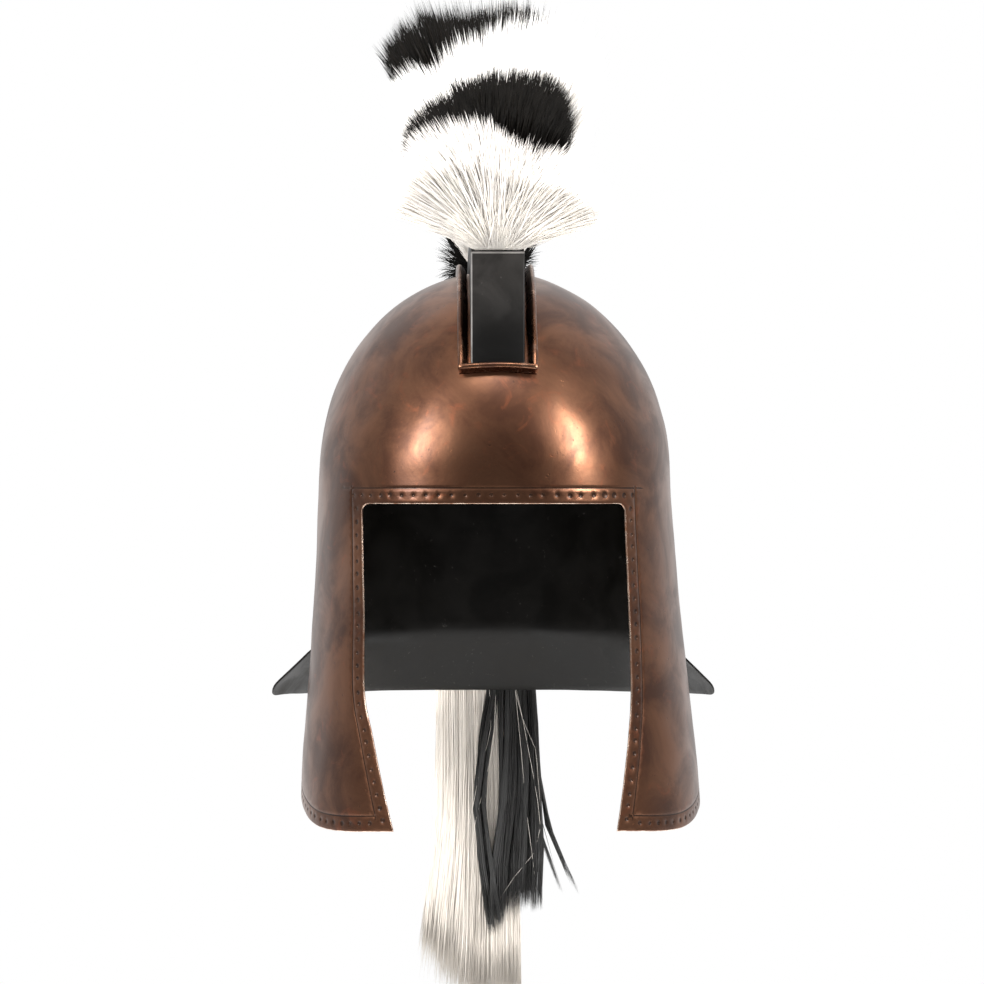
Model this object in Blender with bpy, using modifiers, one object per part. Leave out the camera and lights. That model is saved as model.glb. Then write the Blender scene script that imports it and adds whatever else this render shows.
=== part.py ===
"""Greek open-faced helmet of thin sheet metal with a banded horsehair crest and a hanging hair tail.

Metres, +Z up, the face looks along -Y. The origin is the inside of the crown, where a head would touch.
A "drop" is a depth measured down from the outside of the crown.
"""

import math
from collections import namedtuple

import bmesh
import bpy
from mathutils import Vector

SHEET = 0.0012

# Bowl: a half ellipsoid over the head, then a skirt of cheek guards and neck guard
CROWN_HALF_WIDTH = 0.101
CROWN_DEPTH = 0.115
FRONT_REACH = 0.118
BACK_REACH = 0.128
SKIRT_DEPTH = 0.202
SKIRT_SPREAD = 0.0145
SKIRT_LEAN = 0.0035
PLAN_SQUARENESS = 2.35

# Face opening and lower hem
BROW_DROP = 0.1337
OPENING_HALF_WIDTH = 0.0750
CHEEK_LENGTH = 0.1843
CORNER_RADIUS = 0.004

# Neck guard, flared out from a soft crease
CREASE_DROP_SIDE = 0.2192
CREASE_DROP_BACK = 0.2135
CREASE_SOFTNESS = 0.003
NECK_DEPTH = 0.0355
FLARE_SLOPE_SIDE = 1.00
FLARE_SLOPE_BACK = 0.78
WING_START = 0.0285
WING_RUN = 0.004

# Crest frame: a bent strip soldered to the crown, and the block that stands in it
FRAME_HALF_WIDTH = 0.021
FRAME_STRIP = 0.0032
FRAME_HEIGHT = 0.0062
FRAME_ROUNDING = 0.0007
FRAME_FRONT_ANGLE = math.radians(62.0)
FRAME_BACK_ANGLE = math.radians(58.5)
BOX_HALF_WIDTH = 0.015
BOX_END_GAP = 0.0003
BOX_FRONT_HEIGHT = 0.0637
BOX_FRONT_SLANT = 0.0055
BOX_CROWN_HEIGHT = 0.0151
BOX_BACK_HEIGHT = 0.0475
BOX_BACK_SLANT = 0.0055
BOX_ROUNDING = 0.0012

# Crest hair, standing in six bands on the block
HAIR_LENGTH = 0.1495
PLUME_HALF_WIDTH = 0.0625
HAIR_ROOT_HALF_WIDTH = 0.0125
HAIR_STRIP_HEIGHT = 0.0025
BAND_GAP = 0.0008
LOCKS_IN_BAND = 7
ROOT_RING = 0.010
TIP_DEPTHS = (0.75, -0.35, 0.95, 0.10, -0.80)

# Hair tail behind the neck
TAIL_DROP = 0.420
TAIL_BLACK_THICKNESS = 0.010
TAIL_WHITE_THICKNESS = 0.012
TAIL_STANDOFF = 0.003
TAIL_HEAD_DEPTH = 0.010
TAIL_HEAD_HEIGHT = 0.030

CLEARANCE = 0.0003
PLAN_STEPS = 48
CROWN_STEPS = 10
FRAME_STEPS = 18
FRAME_WALL_STEPS = 4
BOX_STEPS = 14

# Skirt sections: depth as a share of SKIRT_DEPTH, spread as a share of SKIRT_SPREAD,
# front and back as shares of FRONT_REACH and BACK_REACH
Section = namedtuple("Section", "depth spread front back")
SKIRT = (
    Section(0.00, 0.00, 1.000, 1.000),
    Section(0.23, 0.17, 1.000, 0.998),
    Section(0.46, 0.41, 0.998, 0.988),
    Section(0.69, 0.72, 0.994, 0.980),
    Section(0.86, 0.96, 0.988, 0.980),
    Section(1.12, 1.00, 0.980, 0.980),
)
SKIRT_ROWS = (0.115, 0.23, 0.345, 0.44, 0.485, 0.515, 0.55, 0.61, 0.68, 0.76, 0.86, 0.94, 1.03)

# Edges of the face opening: depth as a share of CHEEK_LENGTH below the brow,
# left (-X) and right (+X) as shares of OPENING_HALF_WIDTH
Edge = namedtuple("Edge", "depth left right")
OPENING = (
    Edge(0.000, 1.015, 0.950),
    Edge(0.300, 0.998, 0.980),
    Edge(0.560, 0.998, 0.998),
    Edge(0.690, 0.940, 0.982),
    Edge(0.870, 0.850, 0.930),
    Edge(1.000, 0.770, 0.884),
)

# Lower hem: y as a share of FRONT_REACH, drop below the brow as a share of CHEEK_LENGTH
Hem = namedtuple("Hem", "y depth")
CHEEK_HEM = (
    Hem(-0.86, 0.986),
    Hem(-0.70, 0.994),
    Hem(-0.56, 0.992),
    Hem(-0.43, 0.979),
    Hem(-0.30, 0.960),
    Hem(-0.16, 0.935),
    Hem(-0.04, 0.905),
    Hem(0.06, 0.868),
    Hem(0.14, 0.812),
    Hem(0.20, 0.735),
    Hem(0.232, 0.640),
    Hem(0.246, 0.540),
    Hem(0.254, 0.470),
)
WING_EDGE = (
    Hem(0.264, 0.472),
    Hem(0.280, 0.510),
    Hem(0.300, 0.550),
    Hem(0.322, 0.585),
    Hem(0.355, 0.607),
    Hem(0.410, 0.616),
    Hem(0.550, 0.618),
)

# Rays between the hair bands: root as a share of the block's length, length as a share of HAIR_LENGTH,
# lean in degrees from upright, forward negative
Ray = namedtuple("Ray", "root length lean")
RAYS = (
    Ray(0.01, 0.505, -53.9),
    Ray(0.17, 0.640, -48.0),
    Ray(0.335, 0.730, -32.2),
    Ray(0.50, 0.885, -16.0),
    Ray(0.665, 1.000, 0.0),
    Ray(0.83, 0.890, 17.3),
    Ray(0.99, 0.860, 35.8),
)

# Hair bands from front to back: left and right spread as shares of PLUME_HALF_WIDTH,
# side_rise is how high the outer locks reach as a share of the middle ones
Band = namedtuple("Band", "name colour left right side_rise")
BANDS = (
    Band("crest_hair_white_front", "white", 1.00, 0.98, 0.50),
    Band("crest_hair_black_front", "black", 0.80, 0.66, 0.74),
    Band("crest_hair_white_top", "white", 0.94, 1.00, 0.84),
    Band("crest_hair_black_top", "black", 0.92, 0.52, 0.86),
    Band("crest_hair_white_rear", "white", 0.96, 0.96, 0.84),
    Band("crest_hair_black_rear", "black", 0.74, 0.74, 0.80),
)

# Tail route: out from the block to the hanging line, and down, both as shares
Stop = namedtuple("Stop", "out down")
TAIL_ROUTE = (
    Stop(0.00, 0.000),
    Stop(0.30, 0.005),
    Stop(0.66, 0.050),
    Stop(0.92, 0.130),
    Stop(1.00, 0.250),
    Stop(1.01, 0.400),
    Stop(1.00, 0.600),
    Stop(0.98, 0.800),
    Stop(0.97, 1.000),
)

# Tail locks: sideways places as shares of BOX_HALF_WIDTH at the head, at the neck guard and at the tip,
# width as a share of BOX_HALF_WIDTH, length as a share of TAIL_DROP
Lock = namedtuple("Lock", "head neck tip width length")
WHITE_TAIL = (
    Lock(-0.72, -1.80, -2.60, 0.46, 0.890),
    Lock(-0.60, -1.25, -1.75, 0.46, 0.935),
    Lock(-0.50, -0.68, -0.85, 0.46, 0.975),
    Lock(-0.42, -0.10, 0.10, 0.46, 1.000),
    Lock(-0.36, 0.45, 0.95, 0.40, 0.985),
)
BLACK_TAIL = (
    Lock(0.32, 0.04, 0.25, 0.36, 0.870),
    Lock(0.48, 0.86, 0.95, 0.42, 0.840),
    Lock(0.66, 1.56, 1.75, 0.42, 0.820),
)


def clear_scene():
    for item in list(bpy.data.objects):
        bpy.data.objects.remove(item, do_unlink=True)


def make_collection(name, parent=None):
    collection = bpy.data.collections.new(name)
    (parent or bpy.context.scene.collection).children.link(collection)
    return collection


def make_material(name, colour, roughness, metallic):
    material = bpy.data.materials.new(name)
    material.use_nodes = True
    shader = material.node_tree.nodes["Principled BSDF"]
    shader.inputs["Base Color"].default_value = (*colour, 1.0)
    shader.inputs["Roughness"].default_value = roughness
    shader.inputs["Metallic"].default_value = metallic
    return material


def add_object(name, bm, collection, material=None):
    """Object of the bmesh, with its faces turned outwards and round faces shaded smooth."""
    bmesh.ops.recalc_face_normals(bm, faces=bm.faces)
    mesh = bpy.data.meshes.new(name)
    bm.to_mesh(mesh)
    bm.free()
    mesh.shade_smooth()
    mesh.set_sharp_from_angle(angle=math.radians(35.0))
    item = bpy.data.objects.new(name, mesh)
    collection.objects.link(item)
    if material:
        mesh.materials.append(material)
    else:
        item.hide_render = True
        item.display_type = "WIRE"
    return item


def cut(item, cutter):
    modifier = item.modifiers.new("Cut", "BOOLEAN")
    modifier.operation = "DIFFERENCE"
    modifier.solver = "EXACT"
    modifier.object = cutter


def fuse(item, locks):
    """One body of the item and every lock in a collection."""
    modifier = item.modifiers.new("Fuse", "BOOLEAN")
    modifier.operation = "UNION"
    modifier.solver = "EXACT"
    modifier.operand_type = "COLLECTION"
    modifier.collection = locks


def smooth(value):
    value = min(max(value, 0.0), 1.0)
    return value * value * (3.0 - 2.0 * value)


def mix(low, high, share):
    return low + (high - low) * share


def table_value(rows, key, column, at):
    """Value of a column between the two rows whose key column lies round the wanted place."""
    for low, high in zip(rows, rows[1:]):
        start, end = getattr(low, key), getattr(high, key)
        if at <= end or high is rows[-1]:
            return mix(getattr(low, column), getattr(high, column), (at - start) / (end - start))


def bowl_reaches(drop):
    """Half width, front reach and back reach of the bowl at this depth."""
    if drop <= CROWN_DEPTH:
        share = math.sqrt(1.0 - (1.0 - drop / CROWN_DEPTH) ** 2)
        return CROWN_HALF_WIDTH * share, FRONT_REACH * share, BACK_REACH * share
    depth = (drop - CROWN_DEPTH) / SKIRT_DEPTH
    spread = SKIRT_SPREAD * table_value(SKIRT, "depth", "spread", depth)
    front = FRONT_REACH * table_value(SKIRT, "depth", "front", depth)
    back = BACK_REACH * table_value(SKIRT, "depth", "back", depth)
    return CROWN_HALF_WIDTH + spread, front, back


def neck_flare(angle, drop):
    """How far the neck guard stands out from the wall above it."""
    back_share = abs(math.cos(angle)) ** 2
    crease = mix(CREASE_DROP_SIDE, CREASE_DROP_BACK, back_share)
    slope = mix(FLARE_SLOPE_SIDE, FLARE_SLOPE_BACK, back_share)
    below = min(drop - crease, 1.2 * NECK_DEPTH)
    return slope * (below + math.hypot(below, CREASE_SOFTNESS)) / 2.0


def outer_point(angle, drop):
    """Outer face of the sheet: angle 0 is the front, a quarter turn is +X."""
    half_width, front, back = bowl_reaches(drop)
    squareness = mix(2.0, PLAN_SQUARENESS, smooth((drop / CROWN_DEPTH - 0.52) / 0.65))
    across, along = math.sin(angle), -math.cos(angle)
    reach = back if along > 0.0 else front
    x = half_width * math.copysign(abs(across) ** (2.0 / squareness), across)
    y = reach * math.copysign(abs(along) ** (2.0 / squareness), along)
    wing = smooth((y - WING_START) / WING_RUN)
    flare = neck_flare(angle, drop) * wing
    outward = Vector((across * reach, along * half_width)).normalized()
    lean = SKIRT_LEAN * max(0.0, (drop - BROW_DROP) / CHEEK_LENGTH) * (1.0 - wing)
    return Vector((x + lean + flare * outward.x, y + flare * outward.y, SHEET - drop))


def shell_drops():
    quarter = math.pi / 2.0
    turns = [quarter * step / CROWN_STEPS for step in range(1, CROWN_STEPS + 1)]
    crown = [CROWN_DEPTH * (1.0 - math.cos(turn)) for turn in turns]
    return crown + [CROWN_DEPTH + SKIRT_DEPTH * share for share in SKIRT_ROWS]


def plan_angles():
    """Columns of the skin round the plan, two of them moved onto the free front edge of each wing."""
    angles = [2.0 * math.pi * step / PLAN_STEPS for step in range(PLAN_STEPS)]
    quarter = PLAN_STEPS // 4
    for column, y in ((quarter + 1, WING_START), (quarter + 2, WING_START + WING_RUN)):
        along = (y / (BACK_REACH * SKIRT[2].back)) ** (PLAN_SQUARENESS / 2.0)
        angles[column] = math.acos(-along)
        angles[-column] = 2.0 * math.pi - angles[column]
    return angles


def add_shell(parts, cutters, material):
    """The sheet as one lofted skin given its thickness, then cut at the face and along the hem."""
    bm = bmesh.new()
    pole = bm.verts.new((0.0, 0.0, SHEET))
    angles = plan_angles()
    rings = [[bm.verts.new(outer_point(angle, drop)) for angle in angles] for drop in shell_drops()]
    for step in range(PLAN_STEPS):
        bm.faces.new((pole, rings[0][step], rings[0][(step + 1) % PLAN_STEPS]))
    for upper, lower in zip(rings, rings[1:]):
        for step in range(PLAN_STEPS):
            after = (step + 1) % PLAN_STEPS
            bm.faces.new((upper[step], lower[step], lower[after], upper[after]))
    shell = add_object("helmet_shell", bm, parts, material)
    wall = shell.modifiers.new("Sheet", "SOLIDIFY")
    wall.thickness = SHEET
    wall.offset = -1.0
    wall.use_even_offset = True
    cut(shell, add_face_cutter(cutters))
    cut(shell, add_hem_cutter(cutters))
    return shell


def add_prism(name, corners, push, collection, material=None):
    """A flat outline pushed along a direction into a closed prism."""
    bm = bmesh.new()
    face = bm.faces.new([bm.verts.new(corner) for corner in corners])
    pushed = bmesh.ops.extrude_face_region(bm, geom=[face])
    moved = [item for item in pushed["geom"] if isinstance(item, bmesh.types.BMVert)]
    bmesh.ops.translate(bm, verts=moved, vec=push)
    return add_object(name, bm, collection, material)


def corner_arc(centre_x, centre_z, side):
    """Round upper corner of the face opening, from its side edge to its top edge."""
    turns = [math.radians(angle) for angle in (0.0, 30.0, 60.0, 90.0)]
    return [
        (centre_x + side * CORNER_RADIUS * math.cos(turn), centre_z + CORNER_RADIUS * math.sin(turn))
        for turn in turns
    ]


def opening_side(side):
    """Edge of the opening from below the cheek guards up to the brow: side -1 is left, +1 is right."""
    column = "left" if side < 0 else "right"
    brow = SHEET - BROW_DROP
    rows = [
        (side * OPENING_HALF_WIDTH * getattr(row, column), brow - CHEEK_LENGTH * row.depth)
        for row in reversed(OPENING[1:])
    ]
    low_x, low_z = rows[0]
    below = (low_x + (low_x - rows[1][0]) * 0.5, low_z - (rows[1][1] - low_z) * 0.5)
    top_x = side * OPENING_HALF_WIDTH * getattr(OPENING[0], column)
    return [below] + rows + corner_arc(top_x - side * CORNER_RADIUS, brow - CORNER_RADIUS, side)


def add_face_cutter(cutters):
    """The face opening, seen from the front and pushed back as far as the ears."""
    outline = opening_side(-1) + opening_side(1)[::-1]
    start = -1.5 * FRONT_REACH
    corners = [(x, start, z) for x, z in outline]
    return add_prism("cut_face", corners, Vector((0.0, 1.5 * FRONT_REACH, 0.0)), cutters)


def hem_outline():
    """Lower edge seen from the side, from the cheek guard's tip to the back of the neck guard."""
    brow = SHEET - BROW_DROP
    rim = SHEET - CREASE_DROP_BACK - NECK_DEPTH
    points = [(FRONT_REACH * row.y, brow - CHEEK_LENGTH * row.depth) for row in CHEEK_HEM + WING_EDGE]
    points.insert(0, (-1.5 * FRONT_REACH, brow - CHEEK_LENGTH * CHEEK_HEM[0].depth))
    points.append((1.05 * BACK_REACH, rim))
    points.append((1.60 * BACK_REACH, rim))
    return points


def add_hem_cutter(cutters):
    edge = hem_outline()
    floor = SHEET - CROWN_DEPTH - 1.3 * SKIRT_DEPTH
    outline = edge + [(edge[-1][0], floor), (edge[0][0], floor)]
    half = 1.8 * CROWN_HALF_WIDTH
    corners = [(-half, y, z) for y, z in outline]
    return add_prism("cut_hem", corners, Vector((2.0 * half, 0.0, 0.0)), cutters)


def crown_point(x, angle, height):
    """Point over the crown at this sideways place and this angle along the crest, forward negative."""
    reach = BACK_REACH if angle > 0.0 else FRONT_REACH
    side = x / CROWN_HALF_WIDTH
    ring = math.sqrt(1.0 - side * side)
    y = reach * ring * math.sin(angle)
    z = SHEET - CROWN_DEPTH + CROWN_DEPTH * ring * math.cos(angle)
    normal = Vector((
        side / CROWN_HALF_WIDTH,
        ring * math.sin(angle) / reach,
        ring * math.cos(angle) / CROWN_DEPTH,
    )).normalized()
    return Vector((x, y, z)) + normal * height


def add_crest_frame(parts, material):
    """A rectangle of strip metal bent over the crown, its walls standing up from it."""
    bm = bmesh.new()
    inner = FRAME_HALF_WIDTH - FRAME_STRIP
    columns = [-FRAME_HALF_WIDTH]
    columns += [mix(-inner, inner, step / FRAME_WALL_STEPS) for step in range(FRAME_WALL_STEPS + 1)]
    columns.append(FRAME_HALF_WIDTH)
    front_turn, back_turn = FRAME_STRIP / FRONT_REACH, FRAME_STRIP / BACK_REACH
    start, end = -FRAME_FRONT_ANGLE + front_turn, FRAME_BACK_ANGLE - back_turn
    angles = [-FRAME_FRONT_ANGLE]
    angles += [mix(start, end, step / FRAME_STEPS) for step in range(FRAME_STEPS + 1)]
    angles.append(FRAME_BACK_ANGLE)
    rows = [[bm.verts.new(crown_point(x, angle, CLEARANCE)) for x in columns] for angle in angles]
    last = len(rows) - 2
    for step, (near, far) in enumerate(zip(rows, rows[1:])):
        for column in range(len(columns) - 1):
            if column in (0, len(columns) - 2) or step in (0, last):
                bm.faces.new((near[column], near[column + 1], far[column + 1], far[column]))
    frame = add_object("crest_frame", bm, parts, material)
    wall = frame.modifiers.new("Strip", "SOLIDIFY")
    wall.thickness = FRAME_HEIGHT
    wall.offset = 1.0
    rounding = frame.modifiers.new("Rounding", "BEVEL")
    rounding.width = FRAME_ROUNDING
    rounding.segments = 1
    rounding.limit_method = "ANGLE"
    rounding.angle_limit = math.radians(40.0)
    return frame


def box_ends():
    """Angles along the crest of the block's front and back, just inside the frame."""
    front = FRAME_FRONT_ANGLE - (FRAME_STRIP + BOX_END_GAP) / FRONT_REACH
    back = FRAME_BACK_ANGLE - (FRAME_STRIP + BOX_END_GAP) / BACK_REACH
    return -front, back


def box_top_corners():
    front, back = (crown_point(0.0, angle, CLEARANCE) for angle in box_ends())
    front_top = (front.y + BOX_FRONT_SLANT, front.z + BOX_FRONT_HEIGHT)
    back_top = (back.y - BOX_BACK_SLANT, back.z + BOX_BACK_HEIGHT)
    return front_top, back_top


def box_back_slope():
    """How far the block's back face leans forward for each metre up."""
    return BOX_BACK_SLANT / BOX_BACK_HEIGHT


def box_top(share):
    """Point on the block's top line, share 0 at the front corner and 1 at the back one."""
    (front_y, front_z), (back_y, back_z) = box_top_corners()
    y = mix(front_y, back_y, share)
    middle_z = SHEET + CLEARANCE + BOX_CROWN_HEIGHT
    front_part = front_z * y * (y - back_y) / (front_y * (front_y - back_y))
    back_part = back_z * y * (y - front_y) / (back_y * (back_y - front_y))
    middle_part = middle_z * (y - front_y) * (y - back_y) / (front_y * back_y)
    return Vector((y, front_part + middle_part + back_part))


def add_crest_box(parts, material):
    """The black block: its underside follows the crown and its top is one shallow arc."""
    front, back = box_ends()
    under = [crown_point(0.0, mix(front, back, step / BOX_STEPS), CLEARANCE) for step in range(BOX_STEPS + 1)]
    top = [box_top(step / BOX_STEPS) for step in range(BOX_STEPS + 1)]
    outline = [(point.y, point.z) for point in under] + [tuple(point) for point in reversed(top)]
    corners = [(-BOX_HALF_WIDTH, y, z) for y, z in outline]
    box = add_prism("crest_box", corners, Vector((2.0 * BOX_HALF_WIDTH, 0.0, 0.0)), parts, material)
    rounding = box.modifiers.new("Rounding", "BEVEL")
    rounding.width = BOX_ROUNDING
    rounding.segments = 1
    rounding.limit_method = "ANGLE"
    rounding.angle_limit = math.radians(50.0)
    return box


def ray_ends(index, shift):
    """Root and tip of a ray in the (y, z) plane, moved along the block's top by a shift."""
    ray = RAYS[index]
    lean = math.radians(ray.lean)
    root = box_top(ray.root) + Vector((shift, CLEARANCE))
    tip = root + Vector((math.sin(lean), math.cos(lean))) * HAIR_LENGTH * ray.length
    return root, tip


def band_place(index, depth, rise):
    """Point in the (y, z) plane inside a band: depth -1 front to +1 back, rise 0 root to 1 tip."""
    front_root, front_tip = ray_ends(index, BAND_GAP / 2.0)
    back_root, back_tip = ray_ends(index + 1, -BAND_GAP / 2.0)
    front = front_root.lerp(front_tip, rise)
    back = back_root.lerp(back_tip, rise)
    return front.lerp(back, (depth + 1.0) / 2.0)


def lock_fullness(along, root_share, taper_start):
    """Thickness of a lock along its length: gathered at the root, full past the middle, then a point."""
    if along <= 0.0 or along >= 1.0:
        return 0.0
    swell = mix(root_share, 1.0, smooth(along / 0.6))
    return swell * (1.0 - smooth((along - taper_start) / (1.08 - taper_start))) ** 0.7


def add_lock(name, rings, place, locks):
    """One closed six-sided lock from a sphere: place(along, depth, side) puts each of its points.

    The sphere's first ring is drawn back to its pole, so that the lock's root is blunt.
    """
    bm = bmesh.new()
    bmesh.ops.create_uvsphere(bm, u_segments=6, v_segments=rings, radius=1.0)
    for vert in bm.verts:
        turn = math.acos(min(max(-vert.co.z, -1.0), 1.0)) / math.pi
        along = max(0.0, mix(ROOT_RING, 1.0, (turn * rings - 1.0) / (rings - 1.0)))
        flat = math.hypot(vert.co.x, vert.co.y)
        depth, side = (vert.co.x / flat, vert.co.y / flat) if flat > 1e-6 else (0.0, 0.0)
        vert.co = place(along, depth, side)
    return add_object(name, bm, locks)


def add_hair_band(index, parts, cutters, material):
    """Locks fanned sideways from a backing strip on the block, fused into one body."""
    band = BANDS[index]
    hair = add_root_strip(index, parts, material)
    locks = make_collection("locks_" + band.name, cutters)
    for number in range(LOCKS_IN_BAND):
        across = 2.0 * number / (LOCKS_IN_BAND - 1) - 1.0
        spread = PLUME_HALF_WIDTH * (band.left if across < 0.0 else band.right)
        half = PLUME_HALF_WIDTH * (band.left + band.right) / (2.0 * LOCKS_IN_BAND) * 1.25
        tip_rise = 1.0 - (1.0 - band.side_rise) * abs(across) ** 1.7
        root_x = across * (HAIR_ROOT_HALF_WIDTH - 0.003)
        tip_x = across * (spread - 0.3 * half)
        tip_depth = TIP_DEPTHS[(number + index) % len(TIP_DEPTHS)]

        def place(along, depth, side):
            deep = lock_fullness(along, 0.94, 0.62)
            y, z = band_place(index, depth * deep + tip_depth * (1.0 - deep), mix(0.006, tip_rise, along))
            width = half * lock_fullness(along, 0.30, 0.62)
            return Vector((mix(root_x, tip_x, along) + side * width, y, z))

        add_lock(f"{band.name}_lock_{number + 1}", 7, place, locks)
    fuse(hair, locks)
    return hair


def add_root_strip(index, parts, material):
    """Backing strip under a band, lying on the block's top."""
    front_share, back_share = RAYS[index].root, RAYS[index + 1].root
    shares = [mix(front_share, back_share, step / 3.0) for step in range(4)]
    low = [box_top(share) + Vector((0.0, CLEARANCE)) for share in shares]
    low[0].x += BAND_GAP / 2.0
    low[-1].x -= BAND_GAP / 2.0
    high = [point + Vector((0.0, HAIR_STRIP_HEIGHT)) for point in reversed(low)]
    high[0].x -= HAIR_STRIP_HEIGHT * 0.2
    high[-1].x += HAIR_STRIP_HEIGHT * 0.2
    corners = [(-HAIR_ROOT_HALF_WIDTH, point.x, point.y) for point in low + high]
    push = Vector((2.0 * HAIR_ROOT_HALF_WIDTH, 0.0, 0.0))
    return add_prism(BANDS[index].name, corners, push, parts, material)


def tail_line(front_thickness, thickness):
    """Where a tail leaves the block, and how far behind the neck guard it hangs.

    The front thickness is that of the tail which hangs between it and the neck guard, if there is one.
    """
    back = crown_point(0.0, box_ends()[1], CLEARANCE)
    rise = TAIL_HEAD_HEIGHT * 0.75
    start_y = back.y - rise * box_back_slope() + CLEARANCE + TAIL_HEAD_DEPTH / 2.0
    start_z = back.z + rise
    neck_reach = BACK_REACH * SKIRT[-1].back + FLARE_SLOPE_BACK * NECK_DEPTH
    hang_y = neck_reach + TAIL_STANDOFF + front_thickness + thickness / 2.0
    return start_y, start_z, hang_y


def tail_place(down, front_thickness, thickness):
    """Point on the tail's middle line: down 0 at the block, 1 at the lowest tip."""
    start_y, start_z, hang_y = tail_line(front_thickness, thickness)
    stops = TAIL_ROUTE
    place = 0
    while place < len(stops) - 2 and stops[place + 1].down < down:
        place += 1
    low, high = stops[place], stops[place + 1]
    share = (down - low.down) / (high.down - low.down)
    out = mix(low.out, high.out, share)
    return mix(start_y, hang_y, out), start_z - TAIL_DROP * down


def tail_sideways(lock, down):
    """Sideways place of a lock, easing from the head to the neck guard and on to its tip."""
    neck = smooth(down / 0.45)
    past = smooth((down - 0.45) / 0.55)
    return BOX_HALF_WIDTH * (mix(lock.head, lock.neck, neck) + (lock.tip - lock.neck) * past)


def add_tail(name, locks, side, layers, parts, cutters, material):
    """Long locks hanging behind the neck guard, fused to a head on the block's back."""
    front_thickness, thickness = layers
    tail = add_tail_head(name, side, parts, material)
    made = make_collection("locks_" + name, cutters)
    for number, lock in enumerate(locks):

        def place(along, depth, across):
            down = along * lock.length
            y, z = tail_place(down, front_thickness, thickness)
            full = lock_fullness(along, 0.75, 0.72)
            width = BOX_HALF_WIDTH * lock.width * full
            thick = thickness / 2.0 * full
            return Vector((tail_sideways(lock, down) + across * width, y + depth * thick, z))

        add_lock(f"{name}_lock_{number + 1}", 14, place, made)
    fuse(tail, made)
    return tail


def add_tail_head(name, side, parts, material):
    """Bound head of a tail, leaning with the back face of the block that it is tied to."""
    start_y, start_z, _ = tail_line(0.0, 0.0)
    bm = bmesh.new()
    bmesh.ops.create_cube(bm, size=1.0)
    width = BOX_HALF_WIDTH - BAND_GAP
    bmesh.ops.scale(bm, vec=(width, TAIL_HEAD_DEPTH, TAIL_HEAD_HEIGHT), verts=bm.verts)
    for vert in bm.verts:
        vert.co.y -= vert.co.z * box_back_slope()
    bmesh.ops.translate(bm, vec=(side * (BAND_GAP / 2.0 + width / 2.0), start_y, start_z), verts=bm.verts)
    return add_object(name, bm, parts, material)


def main():
    clear_scene()
    parts = make_collection("greek_helmet")
    cutters = make_collection("greek_helmet_cutters")
    copper = make_material("antiqued_copper", (0.20, 0.095, 0.058), 0.34, 1.0)
    brown = make_material("blackened_copper", (0.16, 0.085, 0.055), 0.36, 1.0)
    black = make_material("black_paint", (0.012, 0.011, 0.010), 0.45, 0.0)
    add_shell(parts, cutters, copper)
    add_crest_frame(parts, brown)
    add_crest_box(parts, black)
    for index, band in enumerate(BANDS):
        colour, finish = (0.80, 0.77, 0.73), 0.55
        if band.colour == "black":
            colour, finish = (0.012, 0.011, 0.010), 0.40
        hair = make_material(band.name, colour, finish, 0.0)
        add_hair_band(index, parts, cutters, hair)
    white_tail = make_material("tail_white_hair", (0.72, 0.68, 0.63), 0.55, 0.0)
    black_tail = make_material("tail_black_hair", (0.012, 0.011, 0.010), 0.40, 0.0)
    white_layers = (TAIL_BLACK_THICKNESS + BAND_GAP, TAIL_WHITE_THICKNESS)
    add_tail("tail_white", WHITE_TAIL, -1, white_layers, parts, cutters, white_tail)
    add_tail("tail_black", BLACK_TAIL, 1, (0.0, TAIL_BLACK_THICKNESS), parts, cutters, black_tail)


if __name__ == "__main__":
    main()
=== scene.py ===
"""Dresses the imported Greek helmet: hammered copper shell, crest mount, banded hair crest and hair tail.

Metres, +Z up, the face looks along -Y. Every piece is made in mesh code from the sizes below and
carries a node material.
"""

import math

import bmesh
import bpy
import numpy as np
from bpy.props import FloatProperty, FloatVectorProperty, PointerProperty
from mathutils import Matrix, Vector
from mathutils.geometry import delaunay_2d_cdt
from mathutils.kdtree import KDTree


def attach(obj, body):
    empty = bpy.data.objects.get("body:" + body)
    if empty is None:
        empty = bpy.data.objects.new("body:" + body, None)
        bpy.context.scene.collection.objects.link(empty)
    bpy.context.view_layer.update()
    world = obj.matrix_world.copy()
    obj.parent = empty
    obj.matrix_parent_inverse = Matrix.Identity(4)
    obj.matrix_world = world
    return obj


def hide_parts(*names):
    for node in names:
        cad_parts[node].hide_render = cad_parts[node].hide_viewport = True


bl_info = {
    "name": "Greek Helmet",
    "version": (1, 0, 0),
    "blender": (4, 5, 0),
    "location": "View3D > Sidebar > Helmet",
    "description": "Builds the shell, crest and tail of a Greek helmet round its packed solids",
    "category": "Object",
}

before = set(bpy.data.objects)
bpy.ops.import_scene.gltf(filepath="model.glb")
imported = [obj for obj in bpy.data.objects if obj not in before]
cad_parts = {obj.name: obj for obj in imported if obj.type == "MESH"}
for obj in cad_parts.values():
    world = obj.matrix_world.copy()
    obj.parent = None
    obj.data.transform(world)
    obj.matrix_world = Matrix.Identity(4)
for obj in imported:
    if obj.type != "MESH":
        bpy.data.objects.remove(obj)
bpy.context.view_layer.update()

# Bowl, the same sizes as the solids
SHEET = 0.0012
CROWN_HALF_WIDTH = 0.101
CROWN_DEPTH = 0.115
FRONT_REACH = 0.118
BACK_REACH = 0.128
SKIRT_DEPTH = 0.202
SKIRT_SPREAD = 0.0145
SKIRT_LEAN = 0.0035
PLAN_SQUARENESS = 2.35
BROW_DROP = 0.1337
OPENING_HALF_WIDTH = 0.0750
CHEEK_LENGTH = 0.1843
CORNER_RADIUS = 0.004
CREASE_DROP_SIDE = 0.2192
CREASE_DROP_BACK = 0.2135
CREASE_SOFTNESS = 0.0014
NECK_DEPTH = 0.0355
FLARE_SLOPE_SIDE = 1.00
FLARE_SLOPE_BACK = 0.78
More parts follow.
